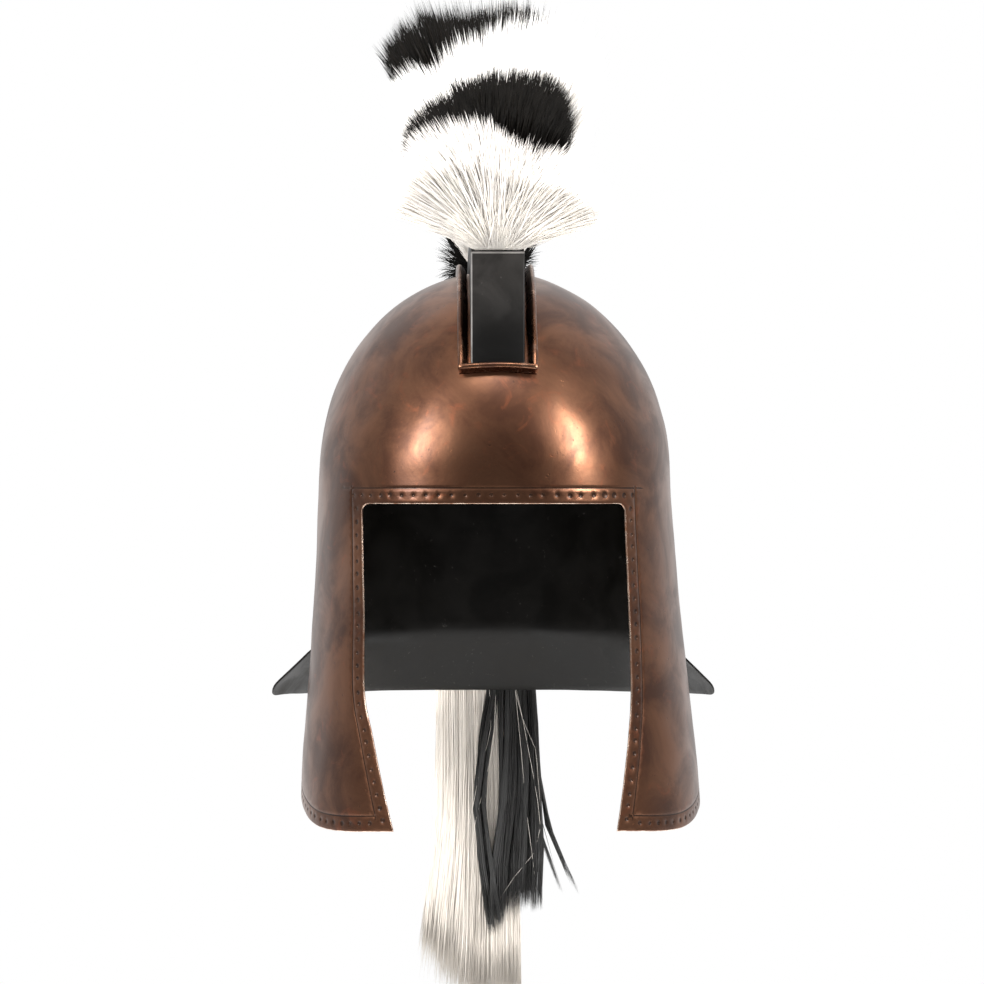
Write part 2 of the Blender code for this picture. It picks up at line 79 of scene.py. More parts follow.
# Neck guard's free side edges: where they begin, and how their tips curl in
WING_START = 0.0298
WING_RUN = 0.0012
WING_CURL_DEPTH = 0.020
WING_CURL_REACH = 0.006
WING_CURL_END = 0.085
WING_CURL_FADE = 0.035
WING_PAINT_START = 0.027
# Point spacing of the sheet's edge, and rings of the dome outside and inside
EDGE_STEP = 0.0014
DOME_RINGS = 46
INNER_DOME_RINGS = 24
# Section of the sheet's rounded edge: outwards and deep
EDGE_PROFILE = ((0.00026, 0.00010), (0.00040, 0.00038), (0.00040, 0.00082), (0.00026, 0.00110))

# Skirt sections: depth, spread, front and back as shares
SKIRT = (
    (0.00, 0.00, 1.000, 1.000), (0.23, 0.17, 1.000, 0.998), (0.46, 0.41, 0.998, 0.988),
    (0.69, 0.72, 0.994, 0.980), (0.86, 0.96, 0.988, 0.980), (1.12, 1.00, 0.980, 0.980),
)
# Opening edges: depth below the brow, left and right half widths, as shares
OPENING = (
    (0.000, 1.015, 0.950), (0.300, 0.998, 0.980), (0.560, 0.998, 0.998), (0.690, 0.940, 0.982),
    (0.870, 0.850, 0.930), (1.000, 0.770, 0.884),
)
# Lower hem: y as a share of the front reach, depth below the brow as a share of the cheek length
HEM = (
    (-0.86, 0.986), (-0.70, 0.994), (-0.56, 0.992), (-0.43, 0.979), (-0.30, 0.960), (-0.16, 0.935),
    (-0.04, 0.905), (0.06, 0.868), (0.14, 0.812), (0.20, 0.735), (0.232, 0.640), (0.246, 0.540),
    (0.254, 0.470), (0.264, 0.472), (0.280, 0.510), (0.300, 0.550), (0.322, 0.581), (0.352, 0.600),
    (0.395, 0.6125), (0.450, 0.617), (0.550, 0.618),
)

# Crest mount
FRAME_HALF_WIDTH = 0.021
FRAME_STRIP = 0.0032
FRAME_HEIGHT = 0.0062
FRAME_ROUNDING = 0.0016
FRAME_FRONT_ANGLE = math.radians(62.0)
FRAME_BACK_ANGLE = math.radians(58.5)
BOX_HALF_WIDTH = 0.015
BOX_END_GAP = 0.0003
BOX_FRONT_HEIGHT = 0.0637
BOX_FRONT_SLANT = 0.0055
BOX_CROWN_HEIGHT = 0.0151
BOX_BACK_HEIGHT = 0.0475
BOX_BACK_SLANT = 0.0055
BOX_BEVEL = 0.0009
CLEARANCE = 0.0003

# Rays between the hair bands: root along the block, length as a share of HAIR_LENGTH, lean in degrees
HAIR_LENGTH = 0.1495
HAIR_TOP = 0.170
HAIR_FRONT = -0.1555
HAIR_ROOT_HALF_WIDTH = 0.0122
SIDE_TUFT_STRANDS = 430
RAYS = (
    (0.01, 0.505, -53.9), (0.17, 0.640, -48.0), (0.335, 0.730, -32.2), (0.50, 0.885, -16.0),
    (0.665, 1.000, 0.0), (0.83, 0.890, 17.3), (0.99, 0.860, 35.8),
)
# Where the tips of each band reach, as x and z from the left side over the top to the right side
FANS = {
    "crest_hair_white_front": (
        (-0.052, 0.034), (-0.063, 0.039), (-0.064, 0.046), (-0.060, 0.054), (-0.0545, 0.063),
        (-0.0475, 0.073), (-0.038, 0.076), (-0.030, 0.078), (-0.017, 0.0805), (-0.008, 0.080),
        (-0.002, 0.076), (0.007, 0.071), (0.017, 0.067), (0.027, 0.064), (0.037, 0.065),
        (0.046, 0.058), (0.055, 0.048), (0.061, 0.040), (0.061, 0.033), (0.051, 0.028),
    ),
    "crest_hair_black_front": (
        (-0.044, 0.070), (-0.051, 0.078), (-0.0475, 0.088), (-0.040, 0.096), (-0.032, 0.100),
        (-0.023, 0.105), (-0.013, 0.109), (-0.001, 0.112), (0.0134, 0.1125), (0.024, 0.111),
        (0.033, 0.108), (0.039, 0.101), (0.040, 0.088), (0.037, 0.076), (0.032, 0.064),
    ),
    "crest_hair_white_top": (
        (-0.050, 0.072), (-0.056, 0.090), (-0.0585, 0.104), (-0.058, 0.116), (-0.050, 0.121),
        (-0.042, 0.120), (-0.036, 0.121), (-0.029, 0.130), (-0.018, 0.137), (-0.008, 0.141),
        (0.003, 0.145), (0.0146, 0.148), (0.029, 0.150), (0.042, 0.147), (0.053, 0.139),
        (0.060, 0.126), (0.057, 0.114), (0.048, 0.102), (0.038, 0.090),
    ),
    "crest_hair_black_top": (
        (-0.050, 0.120), (-0.060, 0.131), (-0.063, 0.138), (-0.059, 0.145), (-0.052, 0.152),
        (-0.0425, 0.159), (-0.034, 0.160), (-0.022, 0.159), (-0.0147, 0.161), (-0.003, 0.163),
        (0.0077, 0.163), (0.015, 0.161), (0.0247, 0.159), (0.033, 0.153),
    ),
    "crest_hair_white_rear": (
        (-0.050, 0.056), (-0.058, 0.078), (-0.056, 0.102), (-0.046, 0.120), (-0.030, 0.133),
        (-0.010, 0.140), (0.012, 0.141), (0.032, 0.134), (0.048, 0.120), (0.057, 0.100),
        (0.058, 0.076), (0.050, 0.056),
    ),
    "crest_hair_black_rear": (
        (-0.036, 0.046), (-0.044, 0.064), (-0.044, 0.080), (-0.034, 0.098), (-0.018, 0.110),
        (0.000, 0.115), (0.018, 0.111), (0.034, 0.099), (0.044, 0.080), (0.044, 0.064),
        (0.036, 0.046),
    ),
}

# Tail: route out from the block and down, as shares
TAIL_DROP = 0.420
TAIL_BLACK_THICKNESS = 0.010
TAIL_WHITE_THICKNESS = 0.012
TAIL_STANDOFF = 0.003
TAIL_LAYER_GAP = 0.0008
TAIL_CLUMP_STRANDS = 46
PALE_HAIR_WIDTH = 0.00021
TAIL_HEAD_DEPTH = 0.010
TAIL_HEAD_HEIGHT = 0.030
TAIL_ROUTE = (
    (0.00, 0.000), (0.30, 0.005), (0.66, 0.050), (0.92, 0.130), (1.00, 0.250), (1.01, 0.400),
    (1.00, 0.600), (0.98, 0.800), (0.97, 1.000),
)

# Stage
CAMERA_ASIDE = 0.00145
CAMERA_HEIGHT = -0.1264
LIGHT_AIM_HEIGHT = -0.08


class HelmetShellSettings(bpy.types.PropertyGroup):
    mesh_step: FloatProperty(
        name="Mesh step", description="Side of the shell's mesh cells", default=0.0025,
        min=0.0015, unit="LENGTH")
    line_inset: FloatProperty(
        name="Line inset", description="How far the incised line runs inside the edge", default=0.0083,
        unit="LENGTH")
    line_width: FloatProperty(
        name="Line width", description="Width of the incised line", default=0.0009, unit="LENGTH")
    line_depth: FloatProperty(
        name="Line depth", description="Depth of the incised line", default=0.00028, unit="LENGTH")
    dot_inset: FloatProperty(
        name="Dot inset", description="How far the punched dots sit inside the edge", default=0.0043,
        unit="LENGTH")
    dot_step: FloatProperty(
        name="Dot step", description="Distance from one punched dot to the next", default=0.0073,
        unit="LENGTH")
    dot_width: FloatProperty(
        name="Dot width", description="Mean width of a punched dot", default=0.0023, unit="LENGTH")
    dot_depth: FloatProperty(
        name="Dot depth", description="Depth of a punched dot", default=0.00034, unit="LENGTH")
    hammer_height: FloatProperty(
        name="Hammer height", description="How uneven hammering left the sheet", default=0.00011,
        unit="LENGTH")
    copper_dark: FloatVectorProperty(
        name="Dark copper", description="Darkest tone of the antiqued copper", default=(0.076, 0.027, 0.012),
        subtype="COLOR", min=0.0, max=1.0)
    copper_light: FloatVectorProperty(
        name="Light copper", description="Lightest tone of the antiqued copper", default=(0.205, 0.085, 0.040),
        subtype="COLOR", min=0.0, max=1.0)
    copper_blush: FloatVectorProperty(
        name="Copper blush", description="Red tone that shows through the patina", default=(0.270, 0.078, 0.032),
        subtype="COLOR", min=0.0, max=1.0)
    worn_metal: FloatVectorProperty(
        name="Worn metal", description="Bare metal along rubbed edges", default=(0.66, 0.50, 0.40),
        subtype="COLOR", min=0.0, max=1.0)


class HelmetCrestSettings(bpy.types.PropertyGroup):
    strand_width: FloatProperty(
        name="Strand width", description="Width of a strand of crest hair at its middle", default=0.00052,
        unit="LENGTH")
    white_tips: FloatVectorProperty(
        name="White tips", description="Bleached hair near its tips", default=(0.93, 0.91, 0.885),
        subtype="COLOR", min=0.0, max=1.0)
    # Much darker than the white tips: painted shade that tones down the front band's tips, which catch more light
    # than its inner hair.
    front_tips: FloatVectorProperty(
        name="Front tips", description="Tips of the first white band", default=(0.62, 0.59, 0.565),
        subtype="COLOR", min=0.0, max=1.0)
    white_roots: FloatVectorProperty(
        name="White roots", description="Bleached hair near its roots", default=(0.90, 0.85, 0.78),
        subtype="COLOR", min=0.0, max=1.0)
    black_tone: FloatVectorProperty(
        name="Black tone", description="Dyed hair", default=(0.0055, 0.0050, 0.0045),
        subtype="COLOR", min=0.0, max=1.0)
    paint: FloatVectorProperty(
        name="Block paint", description="Paint of the block that carries the hair", default=(0.0098, 0.0088, 0.0080),
        subtype="COLOR", min=0.0, max=1.0)


class HelmetTailSettings(bpy.types.PropertyGroup):
    strand_width: FloatProperty(
        name="Strand width", description="Width of a strand of tail hair", default=0.00072, unit="LENGTH")
    white_upper: FloatVectorProperty(
        name="White upper end", description="Bleached tail hair at its upper end", default=(0.82, 0.76, 0.69),
        subtype="COLOR", min=0.0, max=1.0)
    white_lower: FloatVectorProperty(
        name="White lower end", description="Bleached tail hair at its lower end", default=(0.55, 0.50, 0.445),
        subtype="COLOR", min=0.0, max=1.0)


class HelmetStageSettings(bpy.types.PropertyGroup):
    floor_height: FloatProperty(
        name="Floor height", description="Height of the floor under the tail", default=-0.458, unit="LENGTH")
    floor_radius: FloatProperty(
        name="Floor radius", description="Radius of the floor disc", default=0.36, unit="LENGTH")
    camera_distance: FloatProperty(
        name="Camera distance", description="Distance from the camera to the origin", default=2.300,
        unit="LENGTH")
    camera_yaw: FloatProperty(
        name="Camera yaw", description="How far the view is turned from straight on", default=math.radians(1.0),
        unit="ROTATION")
    lens: FloatProperty(name="Lens", description="Focal length in millimetres", default=145.1)
    softbox_power: FloatProperty(
        name="Softbox power", description="Power of each front softbox", default=33.0, unit="POWER")
    fill_light: FloatProperty(
        name="Fill light", description="How brightly matt surfaces are lit from all sides", default=2.6)


# Mesh helpers


def smooth(value):
    value = np.clip(value, 0.0, 1.0)
    return value * value * (3.0 - 2.0 * value)


def mix(low, high, share):
    return low + (high - low) * share


def run_of(line):
    """Length along a polyline up to each of its points."""
    return np.concatenate([[0.0], np.cumsum(np.linalg.norm(np.diff(line, axis=0), axis=1))])


def place_object(name, data):
    item = bpy.data.objects.new(name, data)
    bpy.context.scene.collection.objects.link(item)
    return item


def ring_quads(near, far):
    """Four-sided faces between two closed rings of point numbers."""
    return np.stack([near, np.roll(near, -1), np.roll(far, -1), far], axis=1)


def put_mesh(name, places, faces, materials, slots=None):
    """Object from arrays of places and of equal-sided faces, smooth, with a material slot per face."""
    places = np.ascontiguousarray(places, dtype=np.float32)
    corners = [np.asarray(part, dtype=np.int32) for part in faces]
    mesh = bpy.data.meshes.new(name)
    mesh.vertices.add(len(places))
    mesh.vertices.foreach_set("co", places.ravel())
    loops = np.concatenate([part.ravel() for part in corners])
    sides = np.concatenate([np.full(len(part), part.shape[1], dtype=np.int32) for part in corners])
    starts = np.concatenate([[0], np.cumsum(sides)[:-1]]).astype(np.int32)
    mesh.loops.add(len(loops))
    mesh.loops.foreach_set("vertex_index", loops)
    mesh.polygons.add(len(sides))
    mesh.polygons.foreach_set("loop_start", starts)
    for material in materials:
        mesh.materials.append(material)
    if slots is not None:
        mesh.polygons.foreach_set("material_index", np.concatenate(slots).astype(np.int32))
    mesh.polygons.foreach_set("use_smooth", np.ones(len(sides), dtype=bool))
    mesh.update(calc_edges=True)
    return place_object(name, mesh)


def turn_outwards(item):
    bm = bmesh.new()
    bm.from_mesh(item.data)
    bmesh.ops.recalc_face_normals(bm, faces=bm.faces)
    bm.to_mesh(item.data)
    bm.free()


def even_points(line, step):
    """Points at even distances along a polyline, its ends kept."""
    line = np.asarray(line, dtype=float)
    run = run_of(line)
    count = max(2, int(round(run[-1] / step)) + 1)
    at = np.linspace(0.0, run[-1], count)
    return np.stack([np.interp(at, run, line[:, axis]) for axis in range(line.shape[1])], axis=1)


def round_line(points, step):
    """Even points along a smooth curve through the given ones."""
    points = np.asarray(points, dtype=float)
    before, after = 2.0 * points[0] - points[1], 2.0 * points[-1] - points[-2]
    padded = np.vstack([before, points, after])
    turn = np.linspace(0.0, 1.0, 24, endpoint=False)[:, None]
    spans = []
    for a, b, c, d in zip(padded, padded[1:], padded[2:], padded[3:]):
        spans.append(0.5 * (2 * b + (c - a) * turn + (2 * a - 5 * b + 4 * c - d) * turn**2
                            + (3 * b - a - 3 * c + d) * turn**3))
    return even_points(np.vstack(spans + [points[-1:]]), step)


# Shell surface


def eased(depth, column):
    """Value of a skirt column at this depth, eased over the rows' corners."""
    rows = np.array(SKIRT)
    shifts = (-0.08, -0.04, 0.0, 0.04, 0.08)
    return sum(np.interp(depth + shift, rows[:, 0], rows[:, column]) for shift in shifts) / len(shifts)


def outer_place(angle, drop):
    """Outer face of the sheet: angle 0 is the front, a quarter turn is +X, drop is measured down."""
    share = np.sqrt(np.clip(1.0 - (1.0 - np.clip(drop / CROWN_DEPTH, 0.0, 1.0)) ** 2, 0.0, 1.0))
    depth = (drop - CROWN_DEPTH) / SKIRT_DEPTH
    half_width = CROWN_HALF_WIDTH * share + SKIRT_SPREAD * eased(depth, 1)
    across, along = np.sin(angle), -np.cos(angle)
    reach = np.where(along > 0.0, BACK_REACH * eased(depth, 3), FRONT_REACH * eased(depth, 2)) * share
    power = 2.0 / mix(2.0, PLAN_SQUARENESS, smooth((drop / CROWN_DEPTH - 0.52) / 0.65))
    x = half_width * np.sign(across) * np.abs(across) ** power
    y = reach * np.sign(along) * np.abs(along) ** power
    back_share = np.cos(angle) ** 2
    below = drop - mix(CREASE_DROP_SIDE, CREASE_DROP_BACK, back_share)
    below = np.minimum(below, 1.2 * NECK_DEPTH)
    slope = mix(FLARE_SLOPE_SIDE, FLARE_SLOPE_BACK, back_share)
    wing = smooth((y - WING_START) / WING_RUN)
    grown = (below + np.hypot(below, CREASE_SOFTNESS)) / 2.0
    late = np.maximum(grown - WING_CURL_DEPTH, 0.0)
    curl = late - WING_CURL_REACH * (1.0 - np.exp(-late / WING_CURL_REACH))
    flare = slope * (grown - curl * smooth((WING_CURL_END - y) / WING_CURL_FADE)) * wing
    out_x, out_y = across * reach, along * half_width
    size = np.maximum(np.hypot(out_x, out_y), 1e-9)
    lean = SKIRT_LEAN * np.maximum(0.0, (drop - BROW_DROP) / CHEEK_LENGTH) * (1.0 - wing)
    return np.stack([x + lean + flare * out_x / size, y + flare * out_y / size, SHEET - drop], axis=-1)


# Distance round the sheet at one height, by which its flat points are measured
CHART_DROP = 0.2
CHART_ANGLES = np.linspace(-math.pi, math.pi, 7201)
CHART_RUN = run_of(outer_place(CHART_ANGLES, np.full(CHART_ANGLES.shape, CHART_DROP)))
CHART_HALF = CHART_RUN[-1] / 2.0
CHART_RUN = CHART_RUN - CHART_HALF


def skin_place(flat):
    """Place on the sheet's outer face of flat (run, drop) points: run is measured round from the front."""
    run = (flat[..., 0] + CHART_HALF) % (2.0 * CHART_HALF) - CHART_HALF
    return outer_place(np.interp(run, CHART_RUN, CHART_ANGLES), np.maximum(flat[..., 1], 0.0))


def skin_slopes(flat):
    """Change of place for a step round and for a step down."""
    step = 2e-4
    round_step, down_step = np.array([step, 0.0]), np.array([0.0, step])
    across = (skin_place(flat + round_step) - skin_place(flat - round_step)) / (2.0 * step)
    down = (skin_place(flat + down_step) - skin_place(flat - down_step)) / (2.0 * step)
    return across, down


def skin_normal(flat):
    across, down = skin_slopes(flat)
    normal = np.cross(down, across)
    size = np.linalg.norm(normal, axis=-1, keepdims=True)
    return np.where(flat[..., 1:2] < 2e-4, np.array([0.0, 0.0, 1.0]), normal / np.maximum(size, 1e-12))


def inset_line(line, distance):
    """A flat line moved into the sheet by a true distance, in two steps so that it follows the curve."""
    for _ in range(2):
        across, down = skin_slopes(line)
        g11, g12, g22 = (across**2).sum(-1), (across * down).sum(-1), (down**2).sum(-1)
        along = np.gradient(line, axis=0)
        low = g11 * along[:, 0] + g12 * along[:, 1]
        high = g12 * along[:, 0] + g22 * along[:, 1]
        size = np.sqrt(along[:, 0] * low + along[:, 1] * high) * np.sqrt(g11 * g22 - g12**2)
        line = line + np.stack([-high, low], axis=1) / size[:, None] * distance / 2.0
    return line


def run_at_side(x, drop):
    """Run of the point on the front of the sheet with this x."""
    runs = np.linspace(-0.5 * CHART_HALF, 0.5 * CHART_HALF, 601)
    xs = skin_place(np.stack([runs, np.full(601, drop)], axis=1))[:, 0]
    return np.interp(x, xs, runs)


def run_at_hem(y, drop):
    """Run of the point on the right half of the sheet with this y."""
    runs = np.linspace(0.0, CHART_HALF, 901)
    ys = skin_place(np.stack([runs, np.full(901, drop)], axis=1))[:, 1]
    return np.interp(y, ys, runs)


def opening_x(depth, side):
    curve = round_line(OPENING, 0.01)
    return side * OPENING_HALF_WIDTH * np.interp(depth, curve[:, 0], curve[:, 1 if side < 0 else 2])


def side_line(side, over, step):
    """Edge of the opening from the cheek's tip up to the brow, or over it by a distance."""
    depths = np.arange(HEM[0][1], -over / CHEEK_LENGTH, -step / CHEEK_LENGTH)
    depths = np.append(depths, -over / CHEEK_LENGTH)
    drops = BROW_DROP + CHEEK_LENGTH * depths
    return np.array([(run_at_side(opening_x(depth, side), drop), drop) for depth, drop in zip(depths, drops)])


def brow_line(over, step):
    """Top edge of the opening from right to left, or past its corners by a distance."""
    right, left = opening_x(0.0, 1), opening_x(0.0, -1)
    return np.array([(run_at_side(x, BROW_DROP), BROW_DROP)
                     for x in np.arange(right + over, left - over - step / 2.0, -step)])


def hem_half(step):
    """Lower edge of the right half from the back to the cheek's tip."""
    rim_drop = CREASE_DROP_BACK + NECK_DEPTH
    rows = [(FRONT_REACH * y, BROW_DROP + CHEEK_LENGTH * depth) for y, depth in HEM]
    tip_drop = rows[0][1]
    tip_run = run_at_side(opening_x(HEM[0][1], 1), tip_drop)
    cheek = round_line(rows, step)
    cheek_runs = [(run_at_hem(y, drop), drop) for y, drop in cheek]
    cheek_runs = [point for point in cheek_runs if point[0] > tip_run + 0.6 * step]
    wing_y, wing_drop = cheek[-1]
    end_y = 1.05 * BACK_REACH
    runs = np.linspace(cheek_runs[-1][0], CHART_HALF, int((CHART_HALF - cheek_runs[-1][0]) / step) + 1)[1:]
    back = []
    for run in runs:
        drop = wing_drop
        for _ in range(4):
            y = skin_place(np.array([run, drop]))[1]
            drop = mix(wing_drop, rim_drop, float(smooth((y - wing_y) / (end_y - wing_y))))
        back.append((run, drop))
    line = np.array([(tip_run, tip_drop)] + cheek_runs + back)
    return even_points(line, step)[::-1]


def sheet_edges(step):
    """Flat lines of the whole edge in order: right hem, right side, brow, left side, left hem."""
    right_hem = hem_half(step)
    left_hem = right_hem[::-1] * np.array([-1.0, 1.0])
    tip_left = run_at_side(opening_x(HEM[0][1], -1), right_hem[-1][1])
    blend = np.linspace(1.0, 0.0, 40)
    left_hem[:40, 0] += (tip_left - left_hem[0, 0]) * blend
    sides = {}
    for side in (1, -1):
        line = side_line(side, -CORNER_RADIUS, step)
        corner_x = opening_x(0.0, side) - side * CORNER_RADIUS
        corner_drop = BROW_DROP + CORNER_RADIUS
        turns = np.radians((22.5, 45.0, 67.5, 90.0))
        arc = [(corner_x + side * CORNER_RADIUS * math.cos(t), corner_drop - CORNER_RADIUS * math.sin(t))
               for t in turns]
        sides[side] = np.vstack([line, [(run_at_side(x, drop), drop) for x, drop in arc]])
    brow = brow_line(0.0, step)
    inside = (brow[:, 0] < sides[1][-1, 0] - 0.4 * step) & (brow[:, 0] > sides[-1][-1, 0] + 0.4 * step)
    return right_hem, sides[1], brow[inside], sides[-1][::-1], left_hem


def away_from(points, others, distance):
    """Which of the places lie at least this far from every one of the others."""
    tree = KDTree(len(others))
    for index, place in enumerate(others):
        tree.insert(place, index)
    tree.balance()
    return np.array([tree.find(place)[2] >= distance for place in points])


def inside_outline(points, outline):
    """Which flat points lie inside a closed flat outline."""
    result = np.zeros(len(points), dtype=bool)
    ax, ay = outline[:, 0], outline[:, 1]
    bx, by = np.roll(ax, -1), np.roll(ay, -1)
    for start in range(0, len(points), 2000):
        px, py = points[start:start + 2000, 0][:, None], points[start:start + 2000, 1][:, None]
        crossing = (ay > py) != (by > py)
        with np.errstate(divide="ignore", invalid="ignore"):
            at = ax + (py - ay) / (by - ay) * (bx - ax)
        result[start:start + 2000] = (crossing & (px < at)).sum(axis=1) % 2 == 1
    return result


class FlatPoints:
    """Points and edges of the flat skirt before it is meshed, each with a relief and a kind."""

    def __init__(self):
        self.points, self.edges, self.relief, self.kind = [], [], [], []

    def add(self, points, relief=0.0, kind=0, closed=False, joined=True):
        first = len(self.points)
        self.points.extend(tuple(point) for point in points)
        self.relief.extend([relief] * len(points))
        self.kind.extend([kind] * len(points))
        if joined:
            self.edges.extend((index, index + 1) for index in range(first, first + len(points) - 1))
            if closed:
                self.edges.append((first + len(points) - 1, first))


def border_lines(settings, edges, outline):
    """Incised lines inside the whole edge, mitred at the corners with a small overshoot."""
    over = settings.line_inset + 0.0013
    guides = [edges[0], side_line(1, over, 0.0012), brow_line(over, 0.0012),
              side_line(-1, over, 0.0012)[::-1], edges[4]]
    places = [skin_place(line) for line in edges]
    lines = []
    for index, guide in enumerate(guides):
        moved = [inset_line(guide, settings.line_inset + shift)
                 for shift in (-settings.line_width / 2.0, 0.0, settings.line_width / 2.0)]
        middle = skin_place(moved[1])
        others = places[1:4] if index in (0, 4) else (places[0], places[4])
        keep = away_from(middle, skin_place(guide), settings.line_inset - 0.0003)
        keep &= away_from(middle, np.vstack(others), settings.line_inset - 0.0013)
        keep &= inside_outline(moved[1], outline)
        lines.append([line[keep] for line in moved])
    return lines


def dot_places(settings, edges, outline, seed):
    """Flat places of the punched dots, evenly spaced inside the edge with hand-made unevenness."""
    rng = np.random.default_rng(seed)
    inset = settings.dot_inset
    over = inset
    guides = [edges[0], side_line(1, -0.0030, 0.0006), brow_line(over, 0.0006),
              side_line(-1, -0.0030, 0.0006)[::-1], edges[4]]
    whole = np.vstack([skin_place(line) for line in (edges[0], edges[4])])
    dots, taken = [], []
    for index in (2, 1, 3, 0, 4):
        line = even_points(inset_line(guides[index], inset), 0.0004)
        run = run_of(skin_place(line))
        count = max(2, int(round(run[-1] / settings.dot_step)))
        at = np.linspace(0.0, run[-1], count + 1)
        at = np.clip(at + rng.uniform(-0.0005, 0.0005, count + 1), 0.0, run[-1])
        picked = np.stack([np.interp(at, run, line[:, axis]) for axis in (0, 1)], axis=1)
        picked = picked + rng.uniform(-0.00018, 0.00018, picked.shape)
        picked = picked[inside_outline(picked, outline)]
        for flat, spot in zip(picked, skin_place(picked)):
            if any(np.linalg.norm(spot - other) < 0.0048 for other in taken):
                continue
            if np.linalg.norm(whole - spot, axis=1).min() < inset - 0.0006:
                continue
            dots.append(flat)
            taken.append(spot)
    sizes = settings.dot_width / 2.0 * rng.uniform(0.80, 1.16, len(dots))
    by_brow = np.array([spot[2] > -BROW_DROP - 0.001 for spot in taken])
    sizes *= np.where(by_brow, 0.95 + 0.35 * smooth(np.array([spot[0] for spot in taken]) / 0.05), 1.0)
    return np.array(dots), sizes


def dimple_rings(centre, radius):
    """Flat rings round a dot that are round on the sheet itself."""
    across, down = skin_slopes(centre[None])
    g = np.array([[(across**2).sum(), (across * down).sum()], [(across * down).sum(), (down**2).sum()]])
    to_flat = np.linalg.inv(np.linalg.cholesky(g)).T
    rings = []
    for share, corners in ((1.18, 11), (0.86, 11), (0.48, 7)):
        turns = np.arange(corners) * 2.0 * math.pi / corners
        rings.append(centre + (np.stack([np.cos(turns), np.sin(turns)], axis=1) * radius * share) @ to_flat.T)
    return rings


def skirt_mesh(settings, edges, columns, step, bordered):
    """Flat mesh of the skirt: places, triangles, relief, kinds and the edge's own points."""
    flat = FlatPoints()
    ring = np.linspace(-CHART_HALF, CHART_HALF, columns + 1)
    edge_line = np.vstack(edges)
    rim_drop = edge_line[0, 1]
    seam = np.arange(CROWN_DEPTH + step, rim_drop - 0.5 * step, step)
    right_seam = [(CHART_HALF, drop) for drop in seam]
    left_seam = [(-CHART_HALF, drop) for drop in seam[::-1]]
    outline = np.vstack([[(run, CROWN_DEPTH) for run in ring], right_seam, edge_line, left_seam])
    flat.add(outline, closed=True)
    edge_first = len(ring) + len(right_seam)
    edge_indices = np.arange(edge_first, edge_first + len(edge_line))
    if bordered:
        for lines in border_lines(settings, edges, outline):
            for line, relief, kind in zip(lines, (0.0, -settings.line_depth, 0.0), (0, 1, 0)):
                flat.add(line, relief, kind)
        for dot, (centre, radius) in enumerate(zip(*dot_places(settings, edges, outline, 11))):
            depths = (0.0, -0.45 * settings.dot_depth, -0.93 * settings.dot_depth)
            for points, depth in zip(dimple_rings(centre, radius), depths):
                flat.add(points, depth, 2 + dot, closed=True)
            flat.add([centre], -settings.dot_depth, 2 + dot)
    runs = np.arange(-CHART_HALF + step, CHART_HALF - 0.4 * step, step)
    drops = np.arange(CROWN_DEPTH + 0.8 * step, 0.325, step * 0.87)
    grid = np.array([(run + (0.5 * step if row % 2 else 0.0), drop)
                     for row, drop in enumerate(drops) for run in runs])
    grid = grid[np.abs(grid[:, 0]) < CHART_HALF - 0.35 * step]
    grid = grid[inside_outline(grid, outline)]
    fixed = [(x, y, 0.0) for x, y in flat.points]
    grid = grid[away_from([(x, y, 0.0) for x, y in grid], fixed, 0.42 * step)]
    flat.add(grid, joined=False)
    result = delaunay_2d_cdt([Vector(point) for point in flat.points], flat.edges, [], 0, 1e-8)
    points = np.array([tuple(point) for point in result[0]])
    triangles = np.array(result[2])
    source = np.array([origin[0] if origin else -1 for origin in result[3]])
    found = np.where(source >= 0, source, 0)
    relief = np.where(source >= 0, np.array(flat.relief)[found], 0.0)
    kind = np.where(source >= 0, np.array(flat.kind)[found], 0)
    good = inside_outline(points[triangles].mean(axis=1), outline)
    out_of = {int(origin): index for index, origin in enumerate(source) if origin >= 0}
    edge_out = np.array([out_of[int(index)] for index in edge_indices if int(index) in out_of])
    return points, triangles[good], relief, kind, edge_out


def crown_rings(columns, rows):
    """Flat points of the dome by ring and column, the last ring being the skirt's first."""
    turns = np.arange(1, rows + 1) * (math.pi / 2.0) / rows
    drops = CROWN_DEPTH * (1.0 - np.cos(turns))
    runs = np.linspace(-CHART_HALF, CHART_HALF, columns + 1)[:-1]
    return np.stack(np.meshgrid(runs, drops, indexing="xy"), axis=-1)


def hammered(places, height, seed):
    """Gentle unevenness of the sheet at each place, from waves of several lengths and directions."""
    rng = np.random.default_rng(seed)
    total = np.zeros(len(places))
    for _ in range(30):
        direction = rng.normal(size=3)
        direction /= np.linalg.norm(direction)
        length = rng.uniform(0.016, 0.050)
        total += (length / 0.030) * np.sin(places @ direction * (2.0 * math.pi / length) + rng.uniform(0.0, 6.3))
    return total * height / math.sqrt(15.0)


def sheet_skin(settings, edges, columns, rows, step, bordered):
    """One face of the whole sheet: flat points, relief, triangles, their kinds and the edge's indices."""
    points, triangles, relief, kind, edge = skirt_mesh(settings, edges, columns, step, bordered)
    dome = crown_rings(columns, rows)
    flat = np.vstack([points, dome.reshape(-1, 2), [[0.0, 0.0]]])
    base, pole = len(points), len(flat) - 1
    column = np.arange(columns)
    after = (column + 1) % columns
    extra = []
    for row in range(rows - 1):
        low, high = base + row * columns, base + (row + 1) * columns
        extra.append(np.stack([low + column, high + column, high + after], axis=1))
        extra.append(np.stack([low + column, high + after, low + after], axis=1))
    extra.append(np.stack([np.full(columns, pole), base + column, base + after], axis=1))
    triangles = np.vstack([triangles] + extra)
    relief = np.concatenate([relief, np.zeros(len(flat) - base)])
    kind = np.concatenate([kind, np.zeros(len(flat) - base, dtype=int)])
    return flat, relief, kind, triangles, edge


